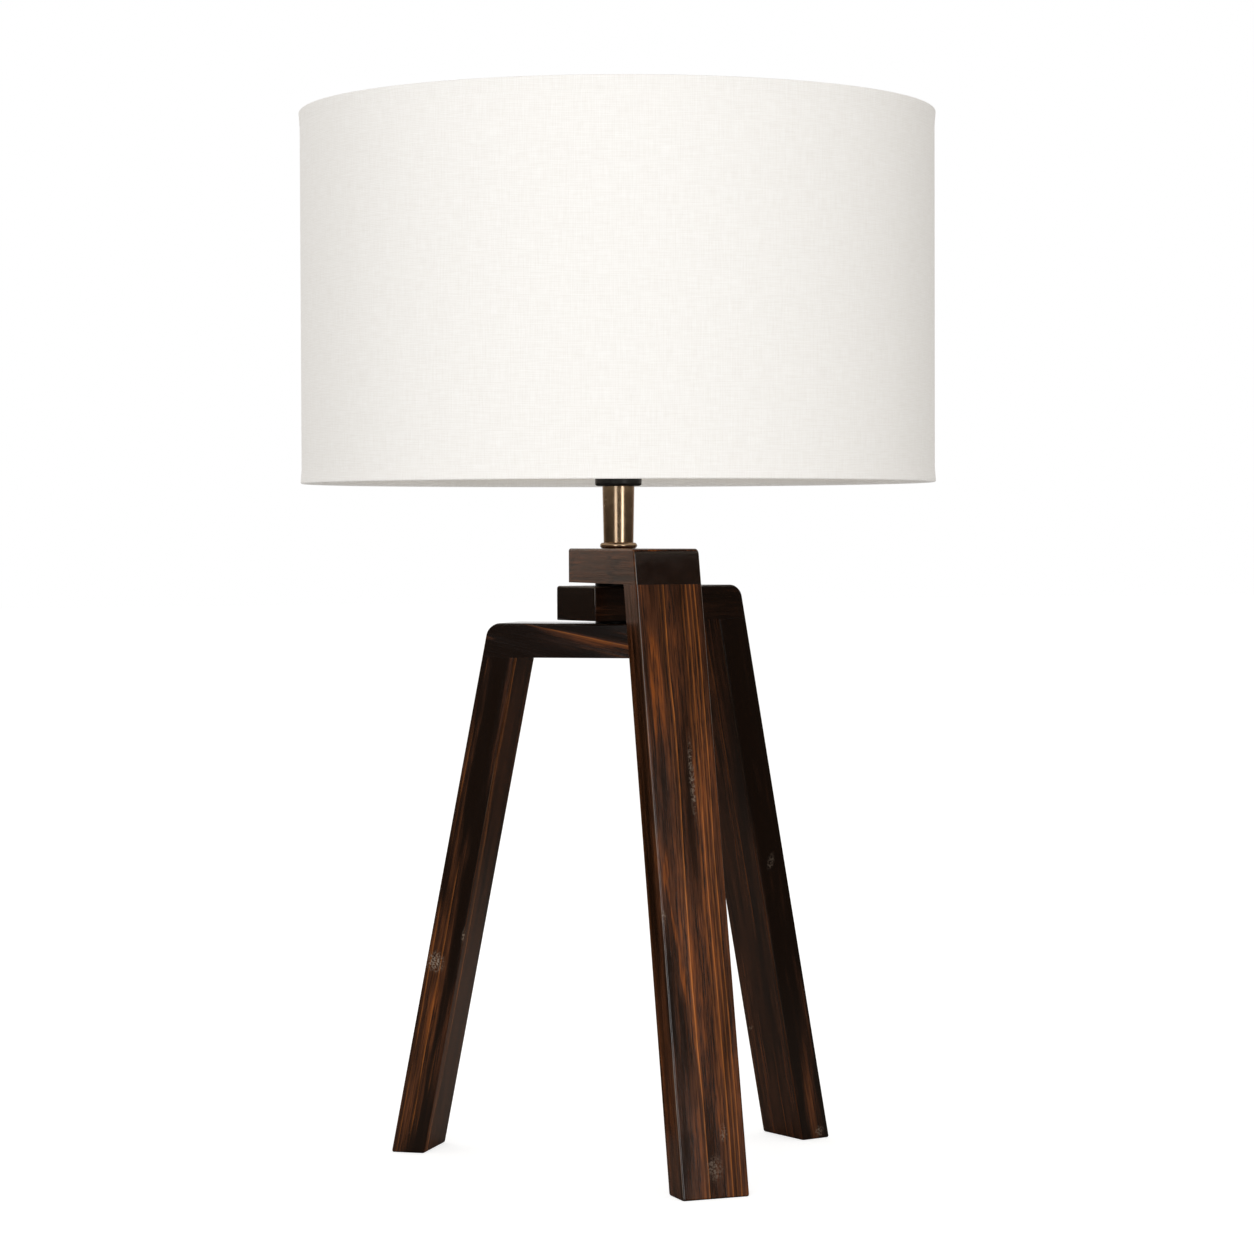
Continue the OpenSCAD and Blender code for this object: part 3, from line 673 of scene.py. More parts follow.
# %% Hand-over tools
SHARP_TURN = math.radians(40)


def place_piece(name, bm, body, slot, material, *replaced):
    """Makes an object of the mesh, lets it ride on its body and stand for its CAD node."""
    mesh = bpy.data.meshes.new(name)
    bm.to_mesh(mesh)
    bm.free()
    for polygon in mesh.polygons:
        polygon.use_smooth = True
    mesh.materials.append(material)
    made = bpy.data.objects.new(name, mesh)
    bpy.context.scene.collection.objects.link(made)
    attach(made, body)
    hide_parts(*replaced)
    print(name, "has", len(mesh.polygons), "faces and rides on", body)
    return made


def keep_flats_flat(made):
    """Lets the large faces set the shading normals, so that only the roundings curve."""
    made.data.set_sharp_from_angle(angle=SHARP_TURN)
    weighted = made.modifiers.new("flat_faces", "WEIGHTED_NORMAL")
    weighted.weight = 100
    weighted.keep_sharp = True


def bake_modifiers(made):
    """Replaces the object's mesh by what its modifiers make of it."""
    graph = bpy.context.evaluated_depsgraph_get()
    mesh = bpy.data.meshes.new_from_object(made.evaluated_get(graph))
    made.modifiers.clear()
    made.data = mesh


print("shading breaks at", round(math.degrees(SHARP_TURN)), "degrees")

# %% [markdown]
# ## Three legs
#
# A leg is a board laid along its lean and sawn level at the floor and under its arm. The
# front leg is the show face of the lamp, and its orange latewood runs in five or six lines
# from top to bottom. The other two keep more of their stain. Each has a pith and a seed of
# its own, because no two planks are alike. The marks say where the wood is lighter or darker,
# in mm from the middle of the foot, and so do the scuffs.

# %% Grain of the legs
INNER_FACE = ((0.0, 9.5, 150.0), (60.0, 0.7, 600.0))

# how pale each plank's edge crests turn is part finish gone through and part painted highlight
LEG_GRAIN = {
    "front": {
        "pith": (-62.0, -30.0), "ring_pitch": 2.4, "seed": 3, "warmth": 0.42, "wear": 0.35,
        "marks": (
            (0.75, (-12.0, -9.5, 279.0), (5.0, 9.0, 46.0)),
            (0.25, (6.0, -9.5, 270.0), (15.0, 9.0, 80.0)),
            (0.9, (-14.2, -9.5, 179.0), (2.4, 6.0, 14.0), (0, 0.1, 0)),
            (1.0, (-10.0, -9.5, 131.0), (1.5, 6.0, 64.0), (0, -0.113, 0)),
            (0.25, (6.0, -9.5, 110.0), (14.0, 9.0, 90.0)),
            (-0.45, (-14.0, -9.5, 220.0), (9.0, 9.0, 40.0)),
            (-0.3, (-14.0, -9.5, 45.0), (9.0, 9.0, 75.0)),
            (-0.35, (-19.0, 0.0, 160.0), (4.0, 9.0, 190.0)),
        ),
        "scuffs": (
            (0.6, (4.5, -9.5, 219.0), (2.2, 4.0, 28.0)),
            (0.5, (6.5, -9.5, 32.0), (3.0, 4.0, 6.0)),
            (0.45, (0.5, -9.5, 14.0), (6.0, 4.0, 9.0)),
            (0.7, (-17.5, -9.5, 146.0), (1.6, 4.0, 5.0)),
        ),
    },
    "right": {
        "pith": (40.0, 60.0), "ring_pitch": 2.6, "seed": 8, "warmth": -0.28, "wear": 0.08,
        "lines": 0.2,
        "even": ((0.66, *INNER_FACE),),
        "marks": ((0.3, (-19.0, 0.0, 20.0), (8.0, 9.0, 50.0)),),
        "scuffs": (
            (0.4, (-19.0, 0.5, 164.0), (3.0, 3.0, 6.5), (0.5, 0, 0)),
            (0.6, (-19.0, -3.0, 4.0), (3.0, 4.0, 4.0)),
            (0.6, (14.0, 9.5, 65.0), (4.0, 3.0, 1.4), (0, 0.4, 0)),
        ),
    },
    "left": {
        "pith": (25.0, -45.0), "ring_pitch": 2.8, "seed": 14, "warmth": -0.05, "wear": 0.15,
        "lines": 0.4,
        "even": ((0.68, *INNER_FACE),),
        "marks": (
            (0.42, (19.0, 0.0, 84.0), (8.0, 5.5, 30.0)),
            (0.22, (19.0, 0.0, 40.0), (9.0, 8.0, 62.0)),
        ),
        "scuffs": (
            (1.0, (19.0, -4.0, 109.0), (4.0, 6.5, 7.5), (0.3, 0, 0)),
            (0.8, (19.0, 9.3, 127.0), (2.0, 1.6, 6.0)),
        ),
    },
}
print("marks placed on the front leg:", len(LEG_GRAIN["front"]["marks"]))


# %% Legs
def leg_board(leg, foot, lean):
    """A leaning board, sawn level at both ends and eased. foot is the middle of its foot."""
    length = 2 * leg["under"] / math.cos(SPLAY) + 4 * PLANK_T
    bm = board(PLANK_W, PLANK_T, length, Matrix.Translation(foot) @ lean)
    saw(bm, (0, 0, 0), (0, 0, -1))
    saw(bm, (0, 0, leg["under"]), (0, 0, 1))
    along = lean.to_3x3() @ Vector((0, 0, 1))
    ease(bm, edges_where(bm, lambda middle, way: abs(way.dot(along)) > 0.99), EDGE_EASE,
         EDGE_STEPS, worn_and_highlighted=True)
    for height, width in ((0.0, FOOT_EASE), (leg["under"], SEAM_EASE)):
        rim = edges_where(bm, lambda middle, way: abs(middle.z - height) < 1e-5
                          and abs(way.z) < 0.01)
        ease(bm, rim, width, RIM_STEPS)
    mark_end_grain(bm, along)
    return bm


for side, leg in LEGS.items():
    turn = Matrix.Rotation(leg["bearing"], 4, "Z")
    foot = Vector((0, -leg["foot_reach"], 0))
    bm = leg_board(leg, foot, Matrix.Rotation(-SPLAY, 4, "X"))
    bmesh.ops.transform(bm, matrix=turn, verts=bm.verts)
    wood = stained_pine(side + "_leg_pine", turn @ foot, (-SPLAY, 0, leg["bearing"]),
                        **LEG_GRAIN[side])
    plank = place_piece(side + "_leg_plank", bm, leg["body"], "stained_pine", wood,
                        side + "_leg")
    keep_flats_flat(plank)

# %% [markdown]
# ## Three arms
#
# An arm is a level board whose outer end is sawn along the lean, so that it sits flush on its
# leg, with its top corner rounded. The arms stack on the hollow rod, so each has a hole, and
# the lowest also gets the wide recess that hides the washer and the nut. Both could be cut
# into the mesh by hand, but a boolean with a drill bit is surer and reads as what it is.

# %% Grain of the arms
ARM_GRAIN = {
    "front": {
        "pith": (30.0, 70.0), "ring_pitch": 3.0, "seed": 21, "warmth": 0.42, "wear": 0.5,
        "lines": 0.1,
        "marks": (
            (-0.5, (-19.0, 0.0, 26.0), (6.0, 14.0, 5.0)),
            (-0.5, (-19.0, 0.0, -42.0), (6.0, 7.0, 7.0), (0.4, 0, 0)),
        ),
    },
    "right": {
        "pith": (-40.0, 50.0), "ring_pitch": 2.6, "seed": 25, "warmth": -0.25, "lines": 0.2,
    },
    "left": {
        "pith": (10.0, -58.0), "ring_pitch": 3.2, "seed": 31, "warmth": -0.2,
        "lean": -0.21, "lines": 0.5,
        "marks": (
            (-0.6, (19.0, 2.0, 36.0), (8.0, 9.0, 16.0)),
            (0.95, (19.0, -1.0, -24.0), (8.0, 4.2, 54.0), (-0.2, 0, 0)),
            (0.5, (19.0, 1.0, -40.0), (8.0, 6.0, 28.0), (-0.2, 0, 0)),
        ),
    },
}
print("grain of the left arm leans by", ARM_GRAIN["left"]["lean"])

# %% Arms
ROD_HOLE_R = 0.00508
RECESS_R = 0.0096
RECESS_ROOM = 0.00005
DRILL_STEPS = 64
CORNER_STEPS = 8
CORNER_TURN = 0.6
ARM_END = ARM_REACH + PLANK_T * math.tan(SPLAY)


def drill(made, radius, bottom, top):
    """Cuts an upright hole on the rod's axis."""
    bm = bmesh.new()
    place = Matrix.Translation((0, 0, (bottom + top) / 2))
    bmesh.ops.create_cone(bm, cap_ends=True, segments=DRILL_STEPS, radius1=radius,
                          radius2=radius, depth=top - bottom, matrix=place)
    mesh = bpy.data.meshes.new("drill_bit")
    bm.to_mesh(mesh)
    bm.free()
    bit = bpy.data.objects.new("drill_bit", mesh)
    bpy.context.scene.collection.objects.link(bit)
    cut = made.modifiers.new("hole", "BOOLEAN")
    cut.operation = "DIFFERENCE"
    cut.solver = "EXACT"
    cut.object = bit
    bake_modifiers(made)
    bpy.data.objects.remove(bit)


def arm_board(leg, centre):
    """A level board, sawn along the lean, with a round top corner. The long edges below stay
    sharp, and so does the joint line with the leg."""
    along_arm = Matrix.Rotation(math.pi / 2, 4, "X")
    bm = board(PLANK_W, PLANK_T, leg["tail"] + ARM_END,
               Matrix.Translation(centre) @ along_arm)
    outward = Vector((0, -math.cos(SPLAY), math.sin(SPLAY)))
    saw(bm, (0, -ARM_END, leg["under"]), outward)
    top_corner = edges_where(bm, lambda middle, way: abs(way.x) > 0.99 and (
        middle.z > leg["top"] - MM and middle.y < -ARM_REACH / 2))
    corner_cut = leg["corner"] * math.tan((math.pi / 2 - SPLAY) / 2)
    bmesh.ops.bevel(bm, geom=top_corner, offset=corner_cut, offset_type="OFFSET",
                    segments=CORNER_STEPS, affect="EDGES", profile=0.5, material=-1)
    kept_sharp = edges_where(bm, lambda middle, way: middle.z < leg["under"] + MM and (
        abs(way.y) > 0.99 or abs(way.x) > 0.99 and middle.y < -ARM_REACH / 2))
    eased = [edge for edge in bm.edges
             if edge.calc_face_angle(0) > CORNER_TURN and edge not in kept_sharp]
    ease(bm, eased, EDGE_EASE, EDGE_STEPS, worn_and_highlighted=True)
    mark_end_grain(bm, Vector((0, 1, 0)))
    return bm


recess_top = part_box("foot_washer")[1].z + RECESS_ROOM
for side, leg in LEGS.items():
    turn = Matrix.Rotation(leg["bearing"], 4, "Z")
    centre = Vector((0, (leg["tail"] - ARM_END) / 2, leg["under"] + PLANK_T / 2))
    bm = arm_board(leg, centre)
    bmesh.ops.transform(bm, matrix=turn, verts=bm.verts)
    wood = stained_pine(side + "_arm_pine", turn @ centre, (math.pi / 2, 0, leg["bearing"]),
                        **ARM_GRAIN[side])
    plank = place_piece(side + "_arm_plank", bm, leg["body"], "stained_pine", wood,
                        side + "_arm")
    drill(plank, ROD_HOLE_R, leg["under"] - PLANK_T, leg["top"] + PLANK_T)
    if side == "left":
        drill(plank, RECESS_R, leg["under"] - PLANK_T, recess_top)
    keep_flats_flat(plank)

# %% [markdown]
# ## Metal, plastic and ceramic
#
# These finishes are simpler than wood, but none is one flat colour, which would look like a
# drawing. Each drifts between two close colours, with grains of a real size, and its
# roughness and relief drift with it. One function makes them all, because they differ only in
# those values.


# %% A finish that drifts
def mottled(name, low, high, grain_mm, roughness, metallic=0.0, bump_mm=0.01, **values):
    """A finish whose colour drifts between two hex codes, with grains of a size in mm."""
    made, tree, shader = new_material(name)
    coords = node(tree, "ShaderNodeTexCoord")
    grain = node(tree, "ShaderNodeTexNoise", Vector=coords.outputs["Object"],
                 Scale=1 / (grain_mm * MM), Detail=4.0, Roughness=0.6).outputs["Fac"]
    drift = node(tree, "ShaderNodeValToRGB", Fac=grain,
                 stops=[(0.35, colour(low)), (0.65, colour(high))])
    rough = node(tree, "ShaderNodeMapRange", Value=grain, From_Min=0.3, From_Max=0.7,
                 To_Min=roughness * 0.85, To_Max=roughness * 1.15)
    bump = node(tree, "ShaderNodeBump", Strength=0.3, Distance=bump_mm * MM, Height=grain)
    feed(tree, shader, Base_Color=drift.outputs["Color"], Roughness=rough.outputs[0],
         Normal=bump.outputs[0], Metallic=metallic, **values)
    print(name, "from", low, "to", high)
    return made


# %% Finishes
# turned brass, darkened by a bath and rubbed back, under a thin clear coat: a warm mirror
antique_brass = mottled("patinated_brass", "#c1a382", "#cfb190", 6.0, 0.24, metallic=1.0,
                        bump_mm=0.001, Specular_Tint=(0.3, 0.24, 0.18, 1), Coat_Weight=1.0,
                        Coat_Roughness=0.15)
# brass pressed from sheet and left bare: yellower, with a soft gleam
contact_brass = mottled("pressed_brass", "#c39a52", "#d3ad68", 3.0, 0.3, metallic=1.0)
# steel with a thin zinc plating, whose fine crystals make it greyish and a little dull
zinc = mottled("zinc_plated_steel", "#9fa3a5", "#bdc0c1", 1.2, 0.38, metallic=1.0)
# steel coloured near black as painted shade, so that the spacers show only as dark gaps
# between the arms
painted_shade_steel = mottled("spacer_painted_shade", "#1b1a19", "#262422", 1.2, 0.45, metallic=1.0)
# phenolic resin moulded under heat: black, half glossy, with a faint orange peel
black_phenolic = mottled("moulded_phenolic", "#111111", "#191817", 2.0, 0.36,
                         bump_mm=0.02, IOR=1.55)
# unglazed steatite, a fired ceramic: chalky and nearly white
steatite = mottled("fired_steatite", "#d9d3c6", "#e8e3d8", 1.5, 0.7)
# white powder baked on steel wire: a thick skin with a fine pebbled gloss
powder_coat = mottled("white_powder_coat", "#e2e2df", "#ebebe8", 0.8, 0.45, bump_mm=0.02)
# rolled matt styrene sheet: creamy white and even, with no weave
styrene = mottled("matt_styrene_sheet", "#eee6dc", "#f3ece3", 12.0, 0.6)
# steamed beech, turned to dowels: pinkish brown, with small flecks
beech = mottled("steamed_beech", "#b98d5c", "#d0a878", 2.0, 0.6)
# blown glass, etched inside: white and soft, and it lets a little light through
frosted = mottled("frosted_bulb_glass", "#efefea", "#f6f6f2", 8.0, 0.35, IOR=1.5,
                  Transmission_Weight=0.25)

# %% [markdown]
# ## Pieces that stay as they are
#
# Washers, wires, contacts and dowels have their real shape already. Modelling them again
# would add nothing, so each keeps its CAD mesh and only gets its finish.

# %% Finishes of the CAD pieces
KEPT = {
    "front_dowels": beech, "right_dowels": beech, "left_dowels": beech,
    # the spacers are painted near black as shade between the arms
    "threaded_rod": zinc, "upper_spacer": painted_shade_steel, "lower_spacer": painted_shade_steel,
    "foot_washer": zinc, "rod_nut": zinc, "cord_bushing": black_phenolic,
    "lampholder_insert": steatite, "terminal_screws": contact_brass,
    "centre_contact": contact_brass, "socket_shell": contact_brass,
    "bulb_contact": zinc, "bulb_insulator": black_phenolic, "bulb_screw_cap": zinc,
    "spider_arms": powder_coat, "bottom_ring_wire": powder_coat,
    "top_ring_wire": powder_coat,
}
for name, material in KEPT.items():
    slots = NODES[name].data.materials
    slots.clear()
    slots.append(material)
print("CAD pieces that keep their shape:", len(KEPT))

# %% [markdown]
# ## Turned and moulded rounds
#
# The neck, the lampholder and the bulb are round. Each could be built from cylinders, but
# then every step in radius would be a seam. So each is one closed outline of (radius, height)
# points that is spun about the rod's axis, as on a lathe, and the sharp rims of some are
# eased.

# %% Lathe
LATHE_STEPS = 144
SHARP_RIM = math.radians(28)


def turned(outline, steps=LATHE_STEPS):
    """Spins a closed outline of (radius, height) points, in metres, about Z."""
    bm = bmesh.new()
    rim = [bm.verts.new((radius, 0, height)) for radius, height in outline]
    loop = [bm.edges.new((rim[i - 1], rim[i])) for i in range(len(rim))]
    bmesh.ops.spin(bm, geom=rim + loop, cent=(0, 0, 0), axis=(0, 0, 1), angle=2 * math.pi,
                   steps=steps, use_merge=True)
    bmesh.ops.remove_doubles(bm, verts=bm.verts, dist=1e-6)
    bmesh.ops.recalc_face_normals(bm, faces=bm.faces)
    return bm


def soften(bm, width, segments=2, sharp=SHARP_RIM):
    """Eases every edge that turns by more than the sharp angle."""
    ease(bm, [e for e in bm.edges if e.calc_face_angle(0) > sharp], width, segments)


def arc(centre_r, centre_z, radius, start, end, steps):
    """Points of (radius, height) along an arc, with its angles in degrees."""
    turns = [math.radians(start + (end - start) * i / steps) for i in range(steps + 1)]
    return [(centre_r + radius * math.cos(t), centre_z + radius * math.sin(t)) for t in turns]


print("a turned piece has", LATHE_STEPS, "steps round")

# %% [markdown]
# ## Neck
#
# A brass sleeve, a little wider at its top, hides the rod, and a beaded collar finishes it
# on the wood. The bead is a half circle in the outline and the sleeve's flare one straight
# line, because that is how the turned originals are cut.

# %% Neck
sleeve_low, sleeve_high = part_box("neck_sleeve")
collar_low, collar_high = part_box("neck_collar")
SLEEVE_FOOT_R = 0.0083
SLEEVE_BORE_R = 0.0073
SLEEVE_LID = 0.0015
SPIGOT_R = SLEEVE_BORE_R - 0.0002
bead_top = sleeve_low.z
bead_r = (bead_top - collar_low.z) / 2

bm = turned([
    (SLEEVE_BORE_R, sleeve_low.z), (SLEEVE_FOOT_R, sleeve_low.z),
    (sleeve_high.x, sleeve_high.z), (ROD_HOLE_R, sleeve_high.z),
    (ROD_HOLE_R, sleeve_high.z - SLEEVE_LID), (SLEEVE_BORE_R, sleeve_high.z - SLEEVE_LID),
])
soften(bm, 0.0002)
sleeve = place_piece("brass_neck_sleeve", bm, "stand", "antique_brass", antique_brass,
                     "neck_sleeve")
keep_flats_flat(sleeve)

bm = turned(
    arc(collar_high.x - bead_r, collar_low.z + bead_r, bead_r, -90, 90, 16)
    + [(SPIGOT_R, bead_top), (SPIGOT_R, collar_high.z), (ROD_HOLE_R, collar_high.z),
       (ROD_HOLE_R, collar_low.z)])
collar = place_piece("brass_neck_collar", bm, "stand", "antique_brass", antique_brass,
                     "neck_collar")
keep_flats_flat(collar)

# %% [markdown]
# ## Lampholder
#
# Only the black foot of the lampholder shows below the shade. The rest is what a hand meets
# inside it: the cap's cone, and the threaded skirt with its flange. A true thread is a helix,
# which would need a sweep. The thread here is cut as a row of shallow grooves, because a
# spin can make those and they look the same from outside.

# %% Lampholder cap
cap_low, cap_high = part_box("lampholder_cap")
ROD_R = ROD_HOLE_R - 0.00003
CAP_FOOT_R = 0.0129
CAP_FOOT_H = 0.008
CAP_CONE_H = 0.018
CAP_EDGE_R = 0.0015
CAP_WALL = 0.0024
CAP_FLOOR = 0.003
CAP_SEAT = 0.002
INSERT_R = 0.01745
INSERT_ROOM = 0.0002

foot_z = cap_low.z
bm = turned(
    [(ROD_R, foot_z)]
    + arc(CAP_FOOT_R - CAP_EDGE_R, foot_z + CAP_EDGE_R, CAP_EDGE_R, -90, 0, 8)
    + [(CAP_FOOT_R, foot_z + CAP_FOOT_H), (cap_high.x, foot_z + CAP_CONE_H),
       (cap_high.x, cap_high.z), (INSERT_R + INSERT_ROOM, cap_high.z),
       (INSERT_R + INSERT_ROOM, foot_z + CAP_CONE_H),
       (INSERT_R - CAP_SEAT, foot_z + CAP_CONE_H),
       (CAP_FOOT_R - CAP_WALL, foot_z + CAP_FOOT_H),
       (CAP_FOOT_R - CAP_WALL, foot_z + CAP_FLOOR), (ROD_R, foot_z + CAP_FLOOR)])
soften(bm, 0.0004)
cap = place_piece("phenolic_cap", bm, "stand", "black_phenolic", black_phenolic,
                  "lampholder_cap")
keep_flats_flat(cap)

# %% Lampholder skirt
skirt_low, skirt_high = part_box("lampholder_skirt")
SHELL_HOLE_R = 0.0141
FLANGE_T = 0.003
SKIRT_R = 0.01975
SKIRT_LID = 0.002
THREAD_PITCH = 0.002
THREAD_DEPTH = 0.0005
THREAD_START = 0.001
THREAD_SPARE = 0.003

flange_top = skirt_low.z + FLANGE_T
grooves = int((skirt_high.z - flange_top - THREAD_SPARE) / THREAD_PITCH)
thread = []
for i in range(grooves):
    crest = flange_top + THREAD_START + i * THREAD_PITCH
    thread += [(SKIRT_R, crest), (SKIRT_R - THREAD_DEPTH, crest + THREAD_PITCH / 2)]
bm = turned(
    [(INSERT_R + INSERT_ROOM, skirt_low.z), (skirt_high.x, skirt_low.z),
     (skirt_high.x, flange_top), (SKIRT_R, flange_top)]
    + thread
    + [(SKIRT_R, skirt_high.z), (SHELL_HOLE_R, skirt_high.z),
       (SHELL_HOLE_R, skirt_low.z + SKIRT_LID),
       (INSERT_R + INSERT_ROOM, skirt_low.z + SKIRT_LID)])
skirt = place_piece("phenolic_skirt", bm, "stand", "black_phenolic", black_phenolic,
                    "lampholder_skirt")
keep_flats_flat(skirt)
print("thread grooves:", grooves)

# %% [markdown]
# ## Clamp ring
#
# The ring that clamps the shade has scallops for the fingers. Twenty-four cutters and
# booleans would make them, but a plain ring with enough steps can simply have its rim drawn
# in by a cosine, which leaves clean rows of faces.

# %% Clamp ring
ring_low, ring_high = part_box("clamp_ring")
GRIPS = 24
GRIP_STEPS = 6
GRIP_DEPTH = 0.0006
RING_BORE_R = SKIRT_R + 0.00008

bm = turned([(RING_BORE_R, ring_low.z), (ring_high.x, ring_low.z),
             (ring_high.x, ring_high.z), (RING_BORE_R, ring_high.z)],
            steps=GRIPS * GRIP_STEPS)
for vert in bm.verts:
    radius = math.hypot(vert.co.x, vert.co.y)
    if radius > ring_high.x - MM:
        angle = math.atan2(vert.co.y, vert.co.x)
        dent = max(0.0, math.cos(GRIPS * angle)) * GRIP_DEPTH
        vert.co.x *= (radius - dent) / radius
        vert.co.y *= (radius - dent) / radius
soften(bm, 0.0004, sharp=math.radians(50))
clamp = place_piece("phenolic_clamp_ring", bm, "clamp_ring_unit", "black_phenolic",
                    black_phenolic, "clamp_ring")
keep_flats_flat(clamp)

# %% [markdown]
# ## Bulb
#
# The glass is a globe that runs through a waist into its neck. A sphere joined to a tube
# would show a crease there. Two arcs that touch, one for the waist and one for the globe,
# flow into each other as blown glass does, and the same two, drawn in by the wall, make the
# inside.

# %% Bulb glass
glass_low, glass_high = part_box("bulb_glass")
BULB_NECK_R = 0.013
PLUG_R = 0.01255
GLASS_T = 0.001
SHOULDER_GAP = 0.0005
WAIST_RISE = 0.0055
ARC_GAP = 4
globe_r = glass_high.x
globe_z = glass_high.z - globe_r
shoulder_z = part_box("bulb_screw_cap")[1].z + SHOULDER_GAP
waist_z = shoulder_z + WAIST_RISE
waist_r = ((BULB_NECK_R ** 2 + (globe_z - waist_z) ** 2 - globe_r ** 2)
           / (2 * (globe_r - BULB_NECK_R)))
waist_turn = math.degrees(math.atan((globe_z - waist_z) / (BULB_NECK_R + waist_r)))


def glass_side(inset):
    """Waist arc, then globe arc, drawn in by inset. The globe's starts a few degrees on, so
    that no point is doubled."""
    return (arc(BULB_NECK_R + waist_r, waist_z, waist_r + inset, 180, 180 - waist_turn, 12)
            + arc(0, globe_z, globe_r - inset, ARC_GAP - waist_turn, 90, 24))


bm = turned(
    [(PLUG_R - GLASS_T, glass_low.z), (PLUG_R, glass_low.z), (PLUG_R, shoulder_z),
     (BULB_NECK_R, shoulder_z)] + glass_side(0) + glass_side(GLASS_T)[::-1]
    + [(BULB_NECK_R - GLASS_T, shoulder_z + GLASS_T),
       (PLUG_R - GLASS_T, shoulder_z + GLASS_T)])
place_piece("frosted_bulb", bm, "bulb_unit", "frosted_glass", frosted, "bulb_glass")

# %% [markdown]
# ## Fitter disc
#
# The shade hangs on a pressed steel disc with a hole for the skirt. It is a flat ring, and
# only its eased rims tell it from a paper one.

# %% Fitter disc
disc_low, disc_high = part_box("fitter_disc")
FITTER_BORE_R = 0.021
bm = turned([(FITTER_BORE_R, disc_low.z), (disc_high.x, disc_low.z),
             (disc_high.x, disc_high.z), (FITTER_BORE_R, disc_high.z)])
soften(bm, 0.0003)
disc = place_piece("shade_fitter_disc", bm, "shade_unit", "white_coated_steel", powder_coat,
                   "fitter_disc")
keep_flats_flat(disc)

# %% [markdown]
# ## Linen
#
# The cloth is plain-woven ivory linen: matt, with a soft sheen, and threads of uneven
# thickness. A weave on Object coordinates would cross the drum's round wall at a slant, so
# the threads are drawn on the strip's own UV map, in metres round and up. Linen of this kind
# has some twenty threads to the centimetre, too fine to show from two metres, so they are
# drawn 0.9 mm apart. The slubs, which the eye does catch, are soft streaks along both ways.

# %% Linen material
WAVE_BANDS = 20
WEAVE_RELIEF = 0.25
SLUBS_PER_M = ((90.0, 1100.0, 1.0), (1100.0, 90.0, 1.0))
TONE_RANGE = (0.75, 1.75)
CLOTH_RELIEF_M = 0.00012


def linen(name, low, high, thread_mm):
    """Plain-woven cloth on the piece's UV map, whose units are metres."""
    made, tree, shader = new_material(name)
    coords = node(tree, "ShaderNodeTexCoord")
    scale = 2 * math.pi / (WAVE_BANDS * thread_mm * MM)
    weft, warp = [node(tree, "ShaderNodeTexWave", {"bands_direction": way},
                       Vector=coords.outputs["UV"], Scale=scale, Distortion=1.2, Detail=2.0,
                       Detail_Scale=0.3).outputs["Fac"] for way in "YX"]
    weave = node(tree, "ShaderNodeMath", {"operation": "ADD"}, n0=weft, n1=warp)
    slubs = []
    for scales in SLUBS_PER_M:
        stretched = node(tree, "ShaderNodeMapping", Vector=coords.outputs["UV"], Scale=scales)
        slubs.append(node(tree, "ShaderNodeTexNoise", Vector=stretched.outputs[0],
                          Scale=1.0, Detail=4.0, Roughness=0.55).outputs["Fac"])
    both = node(tree, "ShaderNodeMath", {"operation": "ADD"}, n0=slubs[0], n1=slubs[1])
    relief = node(tree, "ShaderNodeMath", {"operation": "MULTIPLY_ADD"}, n0=weave.outputs[0],
                  n1=WEAVE_RELIEF, n2=both.outputs[0])
    tone = node(tree, "ShaderNodeMapRange", Value=relief.outputs[0],
                From_Min=TONE_RANGE[0], From_Max=TONE_RANGE[1])
    cloth = node(tree, "ShaderNodeValToRGB", Fac=tone.outputs[0],
                 stops=[(0.0, colour(low)), (1.0, colour(high))])
    bump = node(tree, "ShaderNodeBump", Strength=0.35, Distance=CLOTH_RELIEF_M,
                Height=relief.outputs[0])
    feed(tree, shader, Base_Color=cloth.outputs["Color"], Roughness=0.85,
         Normal=bump.outputs[0], Sheen_Weight=0.08, Specular_IOR_Level=0.25)
    print(name, "with threads", thread_mm, "mm apart")
    return made


ivory_linen = linen("ivory_linen", "#eeebe7", "#fbfaf8", 0.9)

# %% [markdown]
# ## The drum
#
# A drum shade is a strip of linen glued to stiff white styrene and rolled into a ring. The
# glue holds it stretched, so it has no folds, and a simulation would change nothing. Cloth
# and liner are two thin walls, one inside the other, each spun from its own outline.

# %% Drum tools
SHADE_STEPS = 240
WALL_ROWS = 24


def wall(radius, thickness, low, high):
    """Outline of a straight round wall, given its outside."""
    outside = [(radius, low + (high - low) * i / WALL_ROWS) for i in range(WALL_ROWS + 1)]
    return outside + [(radius - thickness, high), (radius - thickness, low)]


def unroll(bm, radius):
    """UV map in metres: round the drum, then up. A face that crosses the back keeps its
    corners on one side of the seam."""
    uv = bm.loops.layers.uv.new("UVMap")
    for face in bm.faces:
        middle = face.calc_center_median()
        middle_turn = math.atan2(middle.x, -middle.y)
        for loop in face.loops:
            x, y, z = loop.vert.co
            turn = math.atan2(x, -y)
            if turn - middle_turn > math.pi:
                turn -= 2 * math.pi
            if turn - middle_turn < -math.pi:
                turn += 2 * math.pi
            loop[uv].uv = (turn * radius, z)


print("drum steps:", SHADE_STEPS)

# %% Linen and liner
FABRIC_T = 0.0005
LINER_T = 0.0005
fabric_low, fabric_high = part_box("shade_fabric")
liner_low, liner_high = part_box("shade_liner")
fabric_r = fabric_high.x
liner_r = liner_high.x

bm = turned(wall(fabric_r, FABRIC_T, fabric_low.z, fabric_high.z), SHADE_STEPS)
unroll(bm, fabric_r)
cloth = place_piece("linen_drum", bm, "shade_unit", "ivory_linen", ivory_linen,
                    "shade_fabric")
keep_flats_flat(cloth)

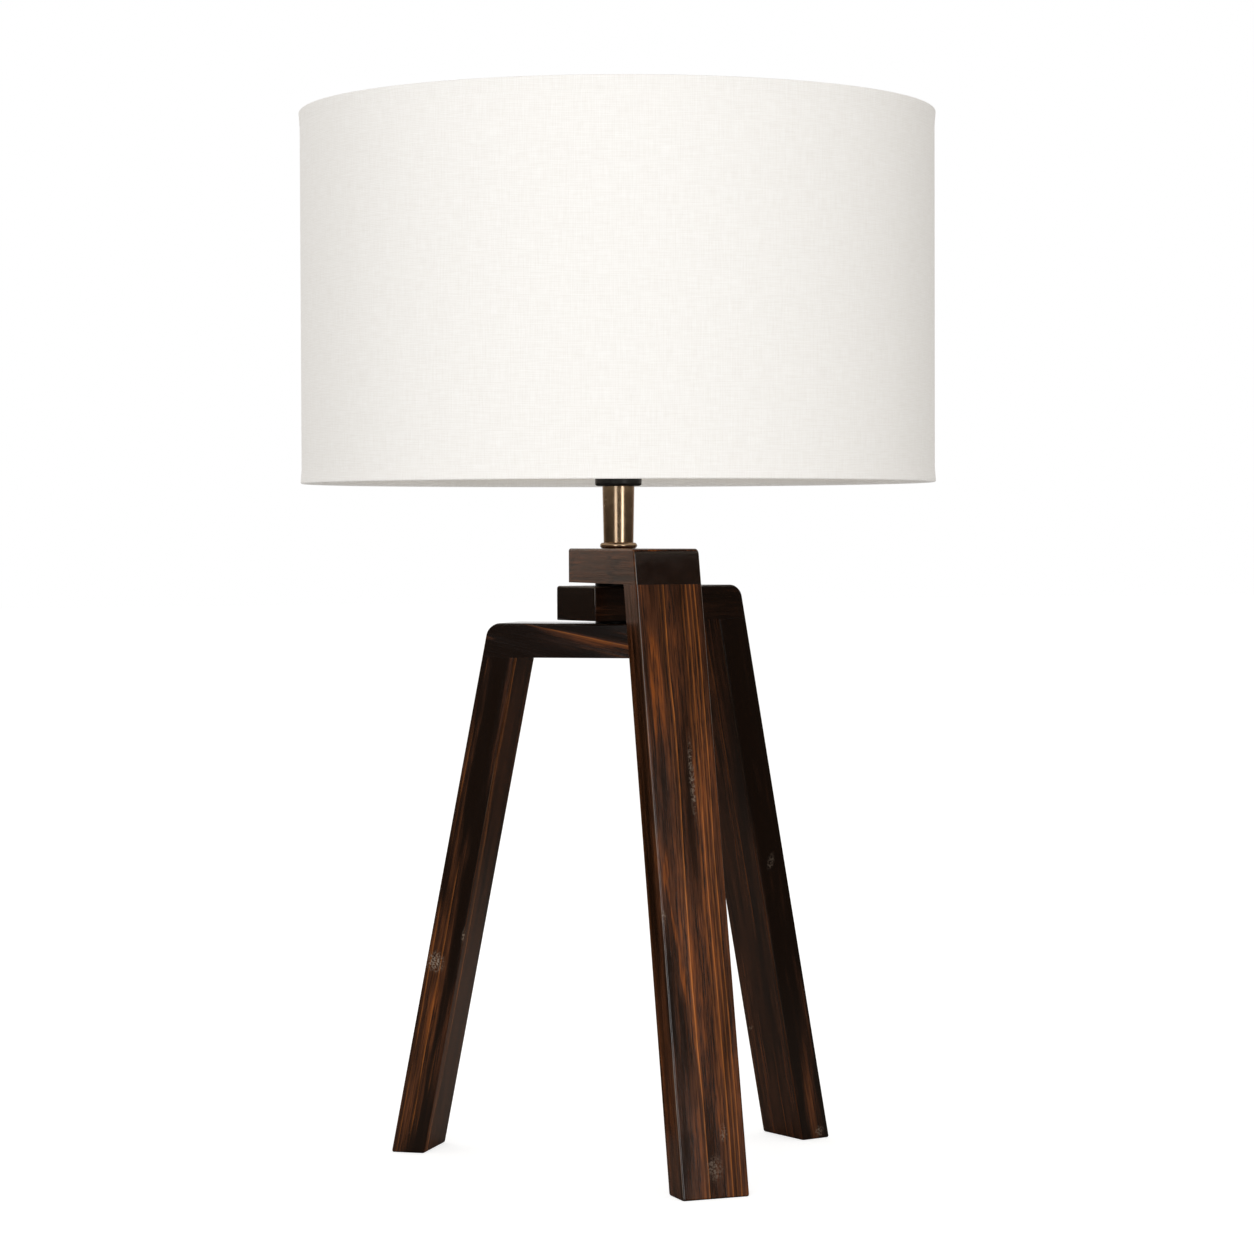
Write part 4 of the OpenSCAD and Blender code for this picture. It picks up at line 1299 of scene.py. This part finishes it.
bm = turned(wall(liner_r, LINER_T, liner_low.z, liner_high.z), SHADE_STEPS)
liner = place_piece("styrene_liner", bm, "shade_unit", "white_liner", styrene, "shade_liner")
keep_flats_flat(liner)

# %% [markdown]
# ## Edge tapes
#
# At each rim a linen tape is rolled over the wire. The photograph shows a crisp rim and no
# hem line, so the tape is creased at its outer edge, and its outer flap lies flush on the
# cloth and thins out. A curve with a bevel could follow the rim, but it couldn't crease, so
# the tape is one outline that is drawn for the lower rim and mirrored for the upper.

# %% Edge tapes
TAPE_T = 0.0006
HEM_W = 0.0075
ROLL_R = 0.0027
CREASE_R = 0.0008
FLAP_EDGE = 0.00004
BEND_H = 0.0015
TAPE_RIM = math.radians(50)
tape_low, tape_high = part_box("bottom_edge_tape")


def tape_outline(edge_z, up):
    """A tape rolled over its wire, creased at the outer edge, with a flap outside and one
    inside. up is 1 at the lower rim and -1 at the upper."""
    roll_r = tape_high.x - ROLL_R
    flap = HEM_W - ROLL_R
    inner_face = liner_r - LINER_T
    points = (
        arc(roll_r, 0, ROLL_R, 180, 270, 8)
        + arc(tape_high.x - CREASE_R, CREASE_R - ROLL_R, CREASE_R, 270, 360, 6)
        + [(fabric_r + FLAP_EDGE, flap), (fabric_r, flap)]
        + arc(roll_r, 0, ROLL_R - TAPE_T, 360, 180, 16)
        + [(roll_r - ROLL_R + TAPE_T, BEND_H), (inner_face, flap - TAPE_T),
           (inner_face, flap), (inner_face - TAPE_T, flap), (roll_r - ROLL_R, BEND_H)])
    return [(radius, edge_z + up * (ROLL_R + height)) for radius, height in points]


for name, edge_z, up in (("bottom_edge_tape", tape_low.z, 1),
                         ("top_edge_tape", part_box("top_edge_tape")[1].z, -1)):
    bm = turned(tape_outline(edge_z, up), SHADE_STEPS)
    unroll(bm, tape_high.x)
    soften(bm, 0.0002, segments=1, sharp=TAPE_RIM)
    tape = place_piece("linen_" + name, bm, "shade_unit", "ivory_linen", ivory_linen, name)
    keep_flats_flat(tape)

# %% [markdown]
# ## How the cloth is cut
#
# The linen is cut flat to the drum's girth at the middle of the cloth, by the height between
# its rims.

# %% [markdown]
# ## Size of the dressed lamp
#
# The last cell prints the size of the dressed lamp, in mm.

# %% Size of the dressed lamp
low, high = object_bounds()
print("dressed lamp, in mm:", [round(side / MM, 1) for side in high - low])
